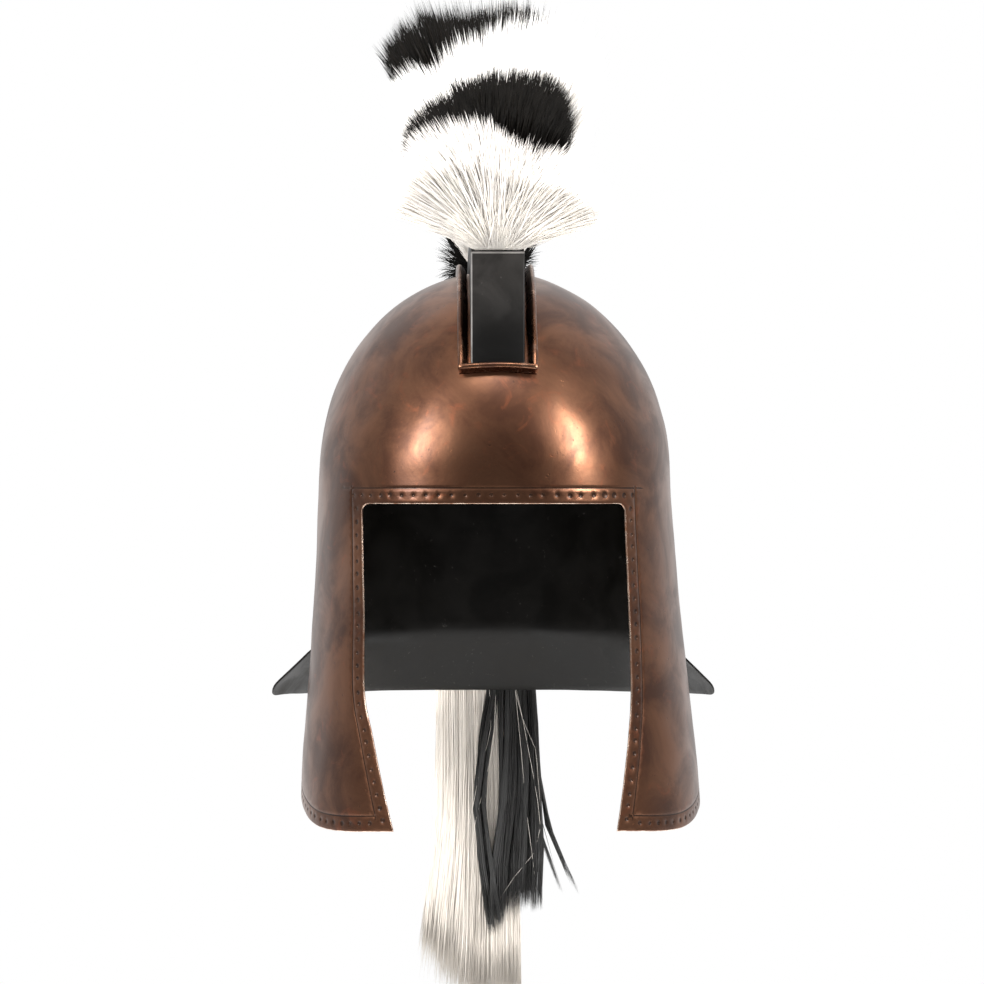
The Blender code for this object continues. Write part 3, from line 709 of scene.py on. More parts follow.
def weld(places, triangles):
    """Joins places that coincide and drops triangles that this closes."""
    _, first, back = np.unique(np.round(places / 2e-6).astype(np.int64), axis=0, return_index=True,
                               return_inverse=True)
    back = back.reshape(-1)
    faces = back[triangles]
    good = (faces[:, 0] != faces[:, 1]) & (faces[:, 1] != faces[:, 2]) & (faces[:, 2] != faces[:, 0])
    return places[first], faces, back, good


def build_shell(settings):
    """The sheet with its border, its painted inside and its rubbed edge."""
    edges = sheet_edges(EDGE_STEP)
    step = settings.mesh_step
    columns = int(round(2.0 * CHART_HALF / step))
    flat, relief, kind, triangles, edge = sheet_skin(settings, edges, columns, DOME_RINGS, step, True)
    normals = skin_normal(flat)
    bare = skin_place(flat)
    lift = hammered(bare, settings.hammer_height, 5)
    outer = bare + normals * (lift + relief)[:, None]
    outer, faces, back, good = weld(outer, triangles)
    corner_kinds = kind[triangles]
    lined = (corner_kinds == 1).any(axis=1)
    dotted = (corner_kinds[:, 0] >= 2) & (corner_kinds == corner_kinds[:, :1]).all(axis=1)
    slots = np.where(lined | dotted, 2, 0)[good]
    outer_faces = faces[good]
    edge_outer = back[edge]
    edge_place, edge_normal = outer[edge_outer], normals[edge]

    coarse = 2.0 * step
    half_columns = int(round(2.0 * CHART_HALF / coarse))
    flat_in, _, _, triangles_in, edge_in = sheet_skin(settings, edges, half_columns, INNER_DOME_RINGS, coarse, False)
    normals_in = skin_normal(flat_in)
    bare_in = skin_place(flat_in)
    inner = bare_in + normals_in * (hammered(bare_in, settings.hammer_height, 5) - SHEET)[:, None]
    inner, faces_in, back_in, good_in = weld(inner, triangles_in)
    inner_faces = faces_in[good_in][:, ::-1]

    along = np.roll(edge_place, -1, axis=0) - np.roll(edge_place, 1, axis=0)
    outward = np.cross(along, edge_normal)
    outward /= np.maximum(np.linalg.norm(outward, axis=1, keepdims=True), 1e-9)
    brow = int(np.argmin(np.abs(edge_place[:, 0]) + 10.0 * np.abs(edge_place[:, 2] - (SHEET - BROW_DROP))))
    if outward[brow, 2] > 0.0:
        outward = -outward
    rings = [edge_outer]
    places = [outer, inner]
    count = len(outer) + len(inner)
    for out, deep in EDGE_PROFILE:
        places.append(edge_place + outward * out - edge_normal * deep)
        rings.append(np.arange(count, count + len(edge_place)))
        count += len(edge_place)
    rings.append(len(outer) + back_in[edge_in])
    strips = np.vstack([ring_quads(near, far) for near, far in zip(rings, rings[1:])])
    strips = strips[(strips[:, 0] != strips[:, 1]) & (strips[:, 2] != strips[:, 3])]
    faces_all = [outer_faces, inner_faces + len(outer), strips]
    behind = np.vstack(places)[strips][:, :, 1].mean(axis=1) > WING_PAINT_START
    slots_all = [slots, np.ones(len(inner_faces)), np.where(behind, 1, 3)]
    materials = [copper_material(settings), lining_material(), recess_material(settings), edge_material(settings)]
    shell = put_mesh("shell_sheet", np.vstack(places), faces_all, materials, slots_all)
    turn_outwards(shell)
    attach(shell, "root")
    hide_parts("helmet_shell")


# Crest mount


def crown_place(x, angle, height):
    """Point over the crown at this sideways place and angle along the crest, forward negative."""
    x, angle, height = np.broadcast_arrays(*(np.asarray(v, dtype=float) for v in (x, angle, height)))
    reach = np.where(angle > 0.0, BACK_REACH, FRONT_REACH)
    side = x / CROWN_HALF_WIDTH
    ring = np.sqrt(1.0 - side * side)
    place = np.stack([x, reach * ring * np.sin(angle),
                      SHEET - CROWN_DEPTH + CROWN_DEPTH * ring * np.cos(angle)], axis=-1)
    normal = np.stack([side / CROWN_HALF_WIDTH, ring * np.sin(angle) / reach,
                       ring * np.cos(angle) / CROWN_DEPTH], axis=-1)
    normal /= np.linalg.norm(normal, axis=-1, keepdims=True)
    return place + normal * height[..., None]


def frame_profile():
    """Section of the frame's strip: sideways from its middle and height, rounded on top."""
    half, top, radius = FRAME_STRIP / 2.0, FRAME_HEIGHT, FRAME_ROUNDING
    points = [(half + 0.0005, -0.0002), (half + 0.00012, 0.0005), (half, 0.0012)]
    for turn in np.linspace(0.0, math.pi / 2.0, 6):
        points.append((half - radius + radius * math.cos(turn), top - radius + radius * math.sin(turn)))
    for turn in np.linspace(math.pi / 2.0, math.pi, 6)[1:]:
        points.append((-half + radius + radius * math.cos(turn), top - radius + radius * math.sin(turn)))
    points += [(-half - 0.0007, top - 0.0028), (-half - 0.0013, 0.0016), (-half - 0.0016, -0.0002)]
    return np.array(points)


def build_frame(settings):
    """The bent strip with mitred corners, its foot drawn out where solder holds it to the crown."""
    middle = FRAME_HALF_WIDTH - FRAME_STRIP / 2.0
    front = FRAME_FRONT_ANGLE - FRAME_STRIP / 2.0 / FRONT_REACH
    back = FRAME_BACK_ANGLE - FRAME_STRIP / 2.0 / BACK_REACH
    corners = np.array([(1.0, -1.0), (1.0, 1.0), (-1.0, 1.0), (-1.0, -1.0)])
    around = np.vstack([mix(start, end, np.linspace(0.0, 1.0, count, endpoint=False)[:, None])
                        for start, end, count in zip(corners, np.roll(corners, -1, axis=0), (90, 22, 90, 22))])
    rows = []
    for out, height in frame_profile():
        x = around[:, 0] * (middle + out)
        along = max(out, -FRAME_STRIP / 2.0)
        reach = np.where(around[:, 1] > 0.0, back + along / BACK_REACH, front + along / FRONT_REACH)
        rows.append(crown_place(x, around[:, 1] * reach, CLEARANCE + height))
    grid = np.array(rows)
    wobble = hammered(grid.reshape(-1, 3), 0.00012, 9).reshape(grid.shape[:2])
    grid += wobble[..., None] * np.array([0.6, 0.3, 1.0])
    sections, count = grid.shape[:2]
    index = np.arange(sections * count).reshape(sections, count)
    quads = []
    for low in range(sections):
        high = (low + 1) % sections
        quads.append(ring_quads(index[low], index[high]))
    item = put_mesh("crest_mount_strip", grid.reshape(-1, 3), [np.vstack(quads)], [strip_material(settings)])
    turn_outwards(item)
    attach(item, "root")
    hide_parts("crest_frame")


def box_ends():
    front = FRAME_FRONT_ANGLE - (FRAME_STRIP + BOX_END_GAP) / FRONT_REACH
    back = FRAME_BACK_ANGLE - (FRAME_STRIP + BOX_END_GAP) / BACK_REACH
    return -front, back


def box_top(share):
    """Point (y, z) on the block's top line, share 0 in front and 1 behind."""
    front, back = (crown_place(0.0, angle, CLEARANCE) for angle in box_ends())
    front_y, front_z = front[1] + BOX_FRONT_SLANT, front[2] + BOX_FRONT_HEIGHT
    back_y, back_z = back[1] - BOX_BACK_SLANT, back[2] + BOX_BACK_HEIGHT
    y = mix(front_y, back_y, np.asarray(share, dtype=float))
    middle_z = SHEET + CLEARANCE + BOX_CROWN_HEIGHT
    z = (front_z * y * (y - back_y) / (front_y * (front_y - back_y))
         + middle_z * (y - front_y) * (y - back_y) / (front_y * back_y)
         + back_z * y * (y - front_y) / (back_y * (back_y - front_y)))
    return np.stack([y, z], axis=-1)


def build_box(settings):
    """The painted block, its edges rounded, and pale paint along the front ones as a painted highlight."""
    front, back = box_ends()
    steps = np.linspace(0.0, 1.0, 41)
    under = crown_place(0.0, mix(front, back, steps), CLEARANCE)[:, 1:]
    outline = np.vstack([under, box_top(steps)[::-1]])
    bm = bmesh.new()
    face = bm.faces.new([bm.verts.new((-BOX_HALF_WIDTH, y, z)) for y, z in outline])
    pushed = bmesh.ops.extrude_face_region(bm, geom=[face])
    moved = [item for item in pushed["geom"] if isinstance(item, bmesh.types.BMVert)]
    bmesh.ops.translate(bm, verts=moved, vec=(2.0 * BOX_HALF_WIDTH, 0.0, 0.0))
    bmesh.ops.recalc_face_normals(bm, faces=bm.faces)
    sharp = [edge for edge in bm.edges if edge.calc_face_angle(0.0) > math.radians(40.0)]
    bmesh.ops.bevel(bm, geom=sharp, offset=BOX_BEVEL, segments=4, profile=0.5, affect="EDGES")
    flat_sides = [item for item in bm.faces if abs(item.normal.x) > 0.99]
    bmesh.ops.triangulate(bm, faces=flat_sides)
    mesh = bpy.data.meshes.new("crest_block")
    bm.to_mesh(mesh)
    bm.free()
    mesh.shade_smooth()
    mesh.set_sharp_from_angle(angle=math.radians(30.0))
    top_y, top_z = box_top(0.0)
    for material in (block_paint_and_shade_material(settings), painted_edge_highlight_material()):
        mesh.materials.append(material)
    # Pale paint on the top front edge and on the upper front edges of the sides: a painted highlight along those
    # edges.
    for polygon in mesh.polygons:
        centre = polygon.center
        by_front = centre.y < top_y + 0.0012 and centre.z > top_z - 0.034
        on_side = centre.x < -BOX_HALF_WIDTH + BOX_BEVEL and 0.2 < abs(polygon.normal.x) < 0.98
        on_top = by_front and centre.z > top_z - 0.0016 and 0.15 < abs(polygon.normal.z) < 0.98
        if on_top or (by_front and on_side):
            polygon.material_index = 1
    item = place_object("crest_block", mesh)
    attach(item, "root")
    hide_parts("crest_box")


# Hair


def put_strands(name, paths, widths, tones, materials):
    """Closed three-sided strands: paths by strand and point, the last point being the tip."""
    strands, points = paths.shape[:2]
    rng = np.random.default_rng(len(name) + strands)
    along = np.gradient(paths, axis=1)
    along /= np.maximum(np.linalg.norm(along, axis=2, keepdims=True), 1e-9)
    guide = rng.normal(size=(strands, 1, 3))
    across = np.cross(along, guide)
    across /= np.maximum(np.linalg.norm(across, axis=2, keepdims=True), 1e-9)
    beyond = np.cross(along, across)
    rings = []
    for corner in range(3):
        turn = corner * 2.0 * math.pi / 3.0
        rings.append(paths[:, :-1] + (across[:, :-1] * math.cos(turn) + beyond[:, :-1] * math.sin(turn))
                     * widths[:, :-1, None] / 2.0)
    body = np.stack(rings, axis=2).reshape(strands, -1, 3)
    places = np.concatenate([body, paths[:, -1:]], axis=1)
    each = places.shape[1]
    quads, triangles = [], []
    for ring in range(points - 2):
        for corner in range(3):
            after = (corner + 1) % 3
            quads.append((ring * 3 + corner, ring * 3 + after, ring * 3 + 3 + after, ring * 3 + 3 + corner))
    last = (points - 2) * 3
    for corner in range(3):
        triangles.append((last + corner, last + (corner + 1) % 3, each - 1))
    triangles.append((2, 1, 0))
    starts = (np.arange(strands) * each)[:, None, None]
    quads, triangles = starts + np.array(quads), starts + np.array(triangles)
    slots = [np.repeat(tones, quads.shape[1]), np.repeat(tones, triangles.shape[1])]
    faces = [quads.reshape(-1, 4), triangles.reshape(-1, 3)]
    return put_mesh(name, places.reshape(-1, 3), faces, materials, slots)


def ray_ends(index):
    root, length, lean = RAYS[index]
    start = box_top(root) + np.array([0.0, CLEARANCE])
    turn = math.radians(lean)
    return start, start + np.array([math.sin(turn), math.cos(turn)]) * HAIR_LENGTH * length


def fan_place(fan, at):
    """Place (x, z) along a band's fan outline, at a share of its length."""
    line = np.array(fan)
    run = run_of(line)
    run /= run[-1]
    return np.stack([np.interp(at, run, line[:, 0]), np.interp(at, run, line[:, 1])], axis=-1)


def clump_places(rng, clumps):
    """Shares across a band or bundle for its clumps, in mixed order."""
    at = (np.arange(clumps) + rng.uniform(0.0, 1.0, clumps)) / clumps
    rng.shuffle(at)
    return at


def clump_tones(rng, own, factor, swapped, palest):
    """Material slot of each strand, mostly its clump's own."""
    shade = (own * factor % 10 < 3).astype(int)
    tones = np.where(rng.random(len(own)) < swapped, 1 - shade, shade)
    return np.minimum(tones + (rng.random(len(own)) < palest), 2)


def folded(at):
    """Shares turned back at 0 and at 1."""
    at = np.abs(at)
    return np.where(at > 1.0, 2.0 - at, at)


def bowed(root, tip, shares, bow):
    """Paths from roots to tips with a bow that is full at half their length."""
    shares = np.array(shares)
    line = root[:, None] + (tip - root)[:, None] * shares[None, :, None]
    return line + np.asarray(bow)[..., None, :] * (4.0 * shares * (1.0 - shares))[None, :, None]


def band_paths(index, fan, strands, clumps, fluffy, seed):
    """Paths of one band's strands in loose clumps, with a share of shorter ones that make it fluffy."""
    rng = np.random.default_rng(seed)
    (root_near, tip_near), (root_far, tip_far) = ray_ends(index), ray_ends(index + 1)
    clump_at = clump_places(rng, clumps)
    clump_deep = rng.uniform(0.0, 1.0, clumps) ** (0.6 + fluffy)
    clump_long = 1.0 - 0.06 * rng.uniform(0.0, 1.0, clumps) ** 2.0 + rng.normal(0.0, 0.012, clumps)
    clump_curl = rng.normal(0.0, 1.0, (clumps, 3))
    clump_aside = rng.normal(0.0, 0.0020, clumps)
    own = rng.integers(0, clumps, strands)
    spread = rng.normal(0.0, 1.0, (strands, 2))
    at = folded(clump_at[own] + spread[:, 0] * (0.025 + 0.14 * fluffy))
    deep = np.clip(clump_deep[own] + spread[:, 1] * 0.16, 0.0, 1.0)
    tip_at = mix(at, clump_at[own], 0.30)
    tip_deep = mix(deep, clump_deep[own], 0.5)
    aside = np.minimum(np.hypot(spread[:, 0], spread[:, 1]) / 2.0, 1.3)
    length = 1.03 * clump_long[own] * (1.0 - 0.045 * aside * rng.uniform(0.0, 1.0, strands))
    short = rng.random(strands) < fluffy
    length = np.where(short, length * rng.uniform(0.45, 0.98, strands), length)
    stray = rng.random(strands) < 0.02
    tip_at = np.where(stray, np.clip(tip_at + rng.normal(0.0, 0.05, strands), 0.0, 1.0), tip_at)
    length = np.where(stray, length * rng.uniform(1.0, 1.08, strands), length)

    root_yz = mix(root_near, root_far, deep[:, None])
    end_yz = mix(tip_near, tip_far, tip_deep[:, None])
    flat = fan_place(fan, tip_at)
    rise_far = (flat[:, 1] - root_far[1]) / (tip_far[1] - root_far[1])
    tip_y = root_yz[:, 0] + (end_yz[:, 0] - root_yz[:, 0]) * rise_far
    lowered = (end_yz[:, 1] - root_yz[:, 1]) / (tip_far[1] - root_far[1])
    lowered = mix(0.5 + 0.5 * lowered, lowered, smooth((rise_far - 0.2) / 0.5))
    tip_z = root_yz[:, 1] + (flat[:, 1] - root_far[1]) * lowered
    low = rise_far < 0.45
    tip_y = np.where(low, tip_y - 0.10 * (0.45 - rise_far) * np.abs(flat[:, 0]), tip_y)
    root_x = np.clip((2.0 * at - 1.0) + rng.normal(0.0, 0.22, strands), -1.0, 1.0) * HAIR_ROOT_HALF_WIDTH
    root = np.stack([root_x, root_yz[:, 0], root_yz[:, 1] + 0.0004], axis=1)
    tip = np.stack([flat[:, 0], tip_y, tip_z], axis=1)
    tip = root + (tip - root) * length[:, None] + rng.normal(0.0, 0.0008, (strands, 3))
    tip[:, 0] += clump_aside[own]
    tip[:, 1] = np.maximum(tip[:, 1], HAIR_FRONT)
    tip[:, 2] = np.minimum(tip[:, 2], HAIR_TOP)
    bow = np.stack([-0.07 * (tip[:, 0] - root_x), np.zeros(strands), 0.05 * np.abs(tip[:, 0] - root_x)], axis=1)
    bow += clump_curl[own] * np.array([0.0016, 0.0022, 0.0010]) + rng.normal(0.0, 0.0007, (strands, 3))
    return bowed(root, tip, (0.0, 0.42, 0.84, 1.0), bow), own, rng


def build_band(settings, index, name, tone, strands, clumps, fluffy, seed):
    line, own, rng = band_paths(index, FANS[name], strands, clumps, fluffy, seed)
    width = settings.strand_width * (1.0 + 0.5 * fluffy) * rng.uniform(0.65, 1.35, (strands, 1))
    widths = width * np.array([[0.80, 1.0, 0.92, 0.0 if "white" in name else 0.3]])
    tones = clump_tones(rng, own, 7919, 0.22, 0.10)
    if name == "crest_hair_black_rear":
        tufts, tuft_widths = side_tufts(settings, SIDE_TUFT_STRANDS, 71)
        line, widths = np.concatenate([line, tufts]), np.concatenate([widths, tuft_widths])
        tones = np.concatenate([tones, np.zeros(len(tufts), dtype=int)])
    hair = put_strands(name.replace("crest_hair", "crest_strands"), line, widths, tones, tone)
    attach(hair, "root")
    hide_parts(name)


def side_tufts(settings, strands, seed):
    """Short black hairs that leave the block's rear end sideways, seen to both sides of it."""
    rng = np.random.default_rng(seed)
    left = rng.random(strands) < 0.62
    side = np.where(left, -1.0, 1.0)
    root_yz = box_top(rng.uniform(0.84, 0.99, strands))
    root_x = side * rng.uniform(0.008, HAIR_ROOT_HALF_WIDTH, strands)
    root = np.stack([root_x, root_yz[:, 0], root_yz[:, 1] + 0.0005], axis=1)
    reach = np.where(left, rng.uniform(0.011, 0.0235, strands), rng.uniform(0.008, 0.019, strands))
    rise = np.where(left, rng.uniform(-0.006, 0.026, strands), 0.2 * reach + rng.uniform(0.001, 0.018, strands))
    tip = root + np.stack([side * reach, rng.normal(0.006, 0.006, strands), rise], axis=1)
    line = bowed(root, tip, (0.0, 0.34, 0.70, 1.0), (0.0, 0.0, 0.003))
    widths = settings.strand_width * np.array([[0.8, 1.0, 0.7, 0.0]]) * rng.uniform(0.7, 1.3, (strands, 1))
    return line, widths


def tail_line(front_thickness, thickness):
    """Where a tail leaves the block and how far behind the neck guard it hangs."""
    back = crown_place(0.0, box_ends()[1], CLEARANCE)
    rise = TAIL_HEAD_HEIGHT * 0.75
    start_y = back[1] - rise * BOX_BACK_SLANT / BOX_BACK_HEIGHT + CLEARANCE + TAIL_HEAD_DEPTH / 2.0
    neck_reach = BACK_REACH * SKIRT[-1][3] + FLARE_SLOPE_BACK * NECK_DEPTH
    return start_y, back[2] + rise, neck_reach + TAIL_STANDOFF + front_thickness + thickness / 2.0


def bundle_paths(bundle, layers, clumps, even, seed):
    """Paths of a bundle's strands between its edges: loose clumps, or evenly spread ones."""
    edges, ends, strands, deep_range = bundle
    rng = np.random.default_rng(seed)
    front_thickness, thickness = layers
    start_y, start_z, hang_y = tail_line(front_thickness, thickness)
    edges, ends = np.array(edges), np.array(ends)
    clump_at = clump_places(rng, clumps)
    clump_deep = rng.uniform(*deep_range, clumps)
    clump_wave = rng.normal(0.0, 1.0, (clumps, 4))
    clump_long = 1.0 - 0.020 * rng.uniform(0.0, 1.0, clumps) ** 1.6
    own = rng.integers(0, clumps, strands)
    offset = rng.normal(0.0, 1.0, (strands, 2))
    gather = 0.04 if even else 0.35
    at = folded(clump_at[own] + offset[:, 0] * (6.0 if even else 0.9) / clumps)
    drop = np.interp(clump_at[own], ends[:, 0], ends[:, 1])
    drop = drop * clump_long[own] * (1.0 - 0.022 * rng.uniform(0.0, 1.0, strands) ** 2)
    cut_short = rng.random(strands) < 0.10
    drop = np.where(cut_short, drop * rng.uniform(0.80, 0.98, strands), drop)
    shares = np.array([0.0, 0.05, 0.13, 0.26, 0.42, 0.56, 0.68, 0.79, 0.90, 1.0])
    down = drop[:, None] * shares[None]
    route = np.array(TAIL_ROUTE)
    out = np.interp(down, route[:, 1], route[:, 0])
    deep = np.clip(clump_deep[own] + offset[:, 1] * (0.5 if even else 0.18), deep_range[0], deep_range[1])
    y = mix(start_y, hang_y, out) + deep[:, None] * thickness / 2.0 * mix(0.7, 1.0, np.minimum(down * 3.0, 1.0))
    y += clump_wave[own][:, 2:3] * 0.0008 * np.sin(down * 9.0 + clump_wave[own][:, 3:4])
    z = start_z - TAIL_DROP * down + offset[:, 1:2] * 0.004 * (1.0 - np.minimum(down * 6.0, 1.0))
    left, right = (np.interp(down, edges[:, 0], edges[:, column]) for column in (1, 2))
    loose = np.minimum(down * 4.0, 1.0)
    x = mix(left, right, mix(at[:, None], clump_at[own][:, None], gather * shares[None]))
    x += clump_wave[own][:, 0:1] * 0.0007 * np.sin(down * 11.0 + clump_wave[own][:, 1:2]) * loose
    x += rng.normal(0.0, 0.00035, down.shape) * loose
    return np.stack([x, y, z], axis=2), own, rng


# Tail bundles: edges as (down, left, right), ends as (place across, down), strands, depth in the layer
WHITE_BUNDLES = (
    (
        ((0.00, -0.0135, -0.001), (0.06, -0.0140, 0.000), (0.25, -0.0230, 0.004), (0.40, -0.0300, 0.008),
         (0.53, -0.0325, 0.0145), (0.70, -0.0330, 0.0160), (0.80, -0.0370, 0.0175), (0.89, -0.0423, 0.0190),
         (1.00, -0.0465, 0.0200)),
        ((0.00, 0.905), (0.20, 0.945), (0.38, 0.975), (0.50, 1.000), (1.00, 1.000)),
        2900, (-1.0, 1.0),
    ),
)
BLACK_BUNDLES = (
    (
        ((0.00, 0.0030, 0.0130), (0.10, 0.0040, 0.0140), (0.30, 0.0080, 0.0220), (0.532, 0.0100, 0.0281),
         (0.58, 0.0100, 0.0292), (0.62, 0.0086, 0.0302), (0.68, 0.0075, 0.0316), (0.75, 0.0030, 0.0322),
         (0.80, -0.0010, 0.0322), (0.88, -0.0010, 0.0318)),
        ((0.00, 0.885), (0.20, 0.878), (0.40, 0.868), (0.65, 0.860), (1.00, 0.852)),
        1080, (-1.0, 1.0),
    ),
    (
        ((0.00, 0.0010, 0.0060), (0.10, 0.0012, 0.0070), (0.30, 0.0014, 0.0080), (0.525, 0.0012, 0.0062),
         (0.57, -0.0040, 0.0025), (0.62, -0.0078, -0.0008), (0.675, -0.0098, -0.0034), (0.717, -0.0102, -0.0032),
         (0.75, -0.0090, -0.0014), (0.80, -0.0062, 0.0030), (0.85, -0.0036, 0.0070), (0.90, -0.0014, 0.0080)),
        ((0.00, 0.880), (0.40, 0.897), (1.00, 0.885)),
        360, (-1.0, 0.2),
    ),
    (
        ((0.00, 0.0020, 0.0050), (0.30, 0.0035, 0.0060), (0.532, 0.0052, 0.0082), (0.60, 0.0056, 0.0072),
         (0.66, 0.0062, 0.0078), (0.74, 0.0040, 0.0070), (0.86, 0.0030, 0.0080)),
        ((0.00, 0.840), (1.00, 0.850)),
        70, (-0.6, 0.6),
    ),
    (
        ((0.00, 0.0100, 0.0130), (0.30, 0.0190, 0.0220), (0.55, 0.0262, 0.0285), (0.66, 0.0290, 0.0306),
         (0.70, 0.0305, 0.0322), (0.764, 0.0405, 0.0432), (0.83, 0.0520, 0.0560)),
        ((0.00, 0.815), (1.00, 0.830)),
        46, (-0.8, 0.4),
    ),
    (
        ((0.00, 0.0100, 0.0130), (0.30, 0.0190, 0.0220), (0.55, 0.0255, 0.0275), (0.66, 0.0280, 0.0290),
         (0.74, 0.0310, 0.0325), (0.84, 0.0455, 0.0480)),
        ((0.00, 0.822), (1.00, 0.835)),
        24, (-0.4, 0.8),
    ),
)
# Single pale hairs in front of the black: (down, x) points
PALE_HAIRS = (
    ((0.50, 0.0140), (0.60, 0.0228), (0.738, 0.0312), (0.79, 0.0180), (0.838, 0.0045)),
    ((0.50, 0.0146), (0.62, 0.0195), (0.70, 0.0225), (0.77, 0.0262), (0.832, 0.0293)),
    ((0.50, 0.0130), (0.57, 0.0205), (0.61, 0.0278), (0.66, 0.0300), (0.70, 0.0312)),
    ((0.50, -0.0010), (0.58, 0.0005), (0.64, -0.0060), (0.69, -0.0100), (0.74, -0.0150)),
    ((0.50, 0.0040), (0.60, 0.0020), (0.66, -0.0030), (0.72, -0.0090), (0.78, -0.0130)),
)


def pale_hairs():
    """The single white hairs that lie over the black ones."""
    _, start_z, hang_y = tail_line(0.0, TAIL_BLACK_THICKNESS)
    lines = []
    for hair in PALE_HAIRS:
        line = round_line(hair, 0.001)
        at = np.linspace(0.0, 1.0, 10) * (len(line) - 1)
        down = np.interp(at, np.arange(len(line)), line[:, 0])
        x = np.interp(at, np.arange(len(line)), line[:, 1])
        front = np.interp(down, (0.50, 0.54), (0.0, -0.0062))
        lines.append(np.stack([x, hang_y + front, start_z - TAIL_DROP * down], axis=1))
    return np.array(lines)


def build_tail(settings, name, bundles, layers, seed, materials):
    """One colour of the tail from its bundles."""
    paths, tones = [], []
    for number, bundle in enumerate(bundles):
        clumps = max(3, bundle[2] // TAIL_CLUMP_STRANDS)
        line, own, rng = bundle_paths(bundle, layers, clumps, "white" in name, seed + number)
        paths.append(line)
        tones.append(clump_tones(rng, own, 6101, 0.25, 0.06))
    rng = np.random.default_rng(seed + 50)
    paths, tones = np.concatenate(paths), np.concatenate(tones)
    widths = settings.strand_width * rng.uniform(0.6, 1.4, (len(paths), 1))
    widths = widths * np.array([[0.8, 0.9, 1.0, 1.0, 1.0, 1.0, 0.95, 0.9, 0.75, 0.0]])
    if "white" in name:
        extra = pale_hairs()
        paths = np.concatenate([paths, extra])
        tones = np.concatenate([tones, np.zeros(len(extra), dtype=int)])
        widths = np.concatenate([widths, np.full((len(extra), 10), PALE_HAIR_WIDTH)])
    hair = put_strands(name, paths, widths, tones, materials)
    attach(hair, "root")
    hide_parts(name.replace("tail_strands", "tail"))


# Shader groups and materials


def new_group(name, inputs, outputs):
    """Empty shader group with these inputs and their defaults, and these outputs, all of them numbers."""
    group = bpy.data.node_groups.new(name, "ShaderNodeTree")
    for label, value in inputs:
        socket = group.interface.new_socket(name=label, in_out="INPUT", socket_type="NodeSocketFloat")
        socket.default_value = value
    for label in outputs:
        group.interface.new_socket(name=label, in_out="OUTPUT", socket_type="NodeSocketFloat")
    return group


def add_node(tree, kind, place, **values):
    node = tree.nodes.new(kind)
    node.location = place
    for key, value in values.items():
        setattr(node, key, value)
    return node


def feed(tree, socket, value):
    """Links an output to a socket, or sets a constant there."""
    if hasattr(value, "links"):
        tree.links.new(value, socket)
    else:
        socket.default_value = value


def noise(tree, place, coordinates, scale, detail=3.0, roughness=0.5, distortion=0.0):
    node = add_node(tree, "ShaderNodeTexNoise", place)
    tree.links.new(coordinates, node.inputs["Vector"])
    values = (("Scale", scale), ("Detail", detail), ("Roughness", roughness), ("Distortion", distortion))
    for label, value in values:
        feed(tree, node.inputs[label], value)
    return node.outputs["Fac"]


def remap(tree, place, value, low, high, to_low=0.0, to_high=1.0):
    node = add_node(tree, "ShaderNodeMapRange", place, interpolation_type="SMOOTHSTEP")
    tree.links.new(value, node.inputs["Value"])
    for label, number in (("From Min", low), ("From Max", high), ("To Min", to_low), ("To Max", to_high)):
        node.inputs[label].default_value = number
    return node.outputs["Result"]


def blend_colours(tree, place, factor, first, second):
    node = add_node(tree, "ShaderNodeMix", place, data_type="RGBA")
    tree.links.new(factor, node.inputs["Factor"])
    for socket, value in ((node.inputs[6], first), (node.inputs[7], second)):
        feed(tree, socket, value if hasattr(value, "links") else (*value, 1.0))
    return node.outputs[2]


def calculate(tree, place, operation, first, second, **options):
    node = add_node(tree, "ShaderNodeMath", place, operation=operation, **options)
    for socket, value in zip(node.inputs, (first, second)):
        feed(tree, socket, value)
    return node.outputs[0]


def patina_group():
    """Blotches, red blush, pits and fine scratches of antiqued sheet metal."""
    group = bpy.data.node_groups.get("antique_patina")
    if group:
        return group
    group = new_group("antique_patina", (("Blotch Scale", 26.0), ("Pit Amount", 0.6)),
                      ("Blotch", "Blush", "Pits", "Height"))
    entry = add_node(group, "NodeGroupInput", (-900, 0))
    leave = add_node(group, "NodeGroupOutput", (900, 0))
    where = add_node(group, "ShaderNodeTexCoord", (-900, 300)).outputs["Object"]
    large = noise(group, (-600, 300), where, entry.outputs["Blotch Scale"], 6.0, 0.62, 0.6)
    group.links.new(remap(group, (-300, 300), large, 0.34, 0.68), leave.inputs["Blotch"])
    red = noise(group, (-600, 60), where, 62.0, 5.0, 0.65, 1.2)
    group.links.new(remap(group, (-300, 60), red, 0.55, 0.74), leave.inputs["Blush"])
    fine = noise(group, (-600, -180), where, 420.0, 2.0, 0.5)
    wide = noise(group, (-600, -420), where, 48.0, 3.0, 0.6)
    pit = remap(group, (-300, -180), fine, 0.66, 0.74)
    zone = remap(group, (-300, -420), wide, 0.46, 0.66)
    both = calculate(group, (0, -300), "MULTIPLY", pit, zone)
    scaled = calculate(group, (200, -300), "MULTIPLY", both, entry.outputs["Pit Amount"])
    group.links.new(scaled, leave.inputs["Pits"])
    grain = noise(group, (-600, -660), where, 260.0, 4.0, 0.6)
    raised = calculate(group, (0, -600), "MULTIPLY", grain, 0.35)
    group.links.new(calculate(group, (200, -600), "SUBTRACT", raised, scaled), leave.inputs["Height"])
    return group


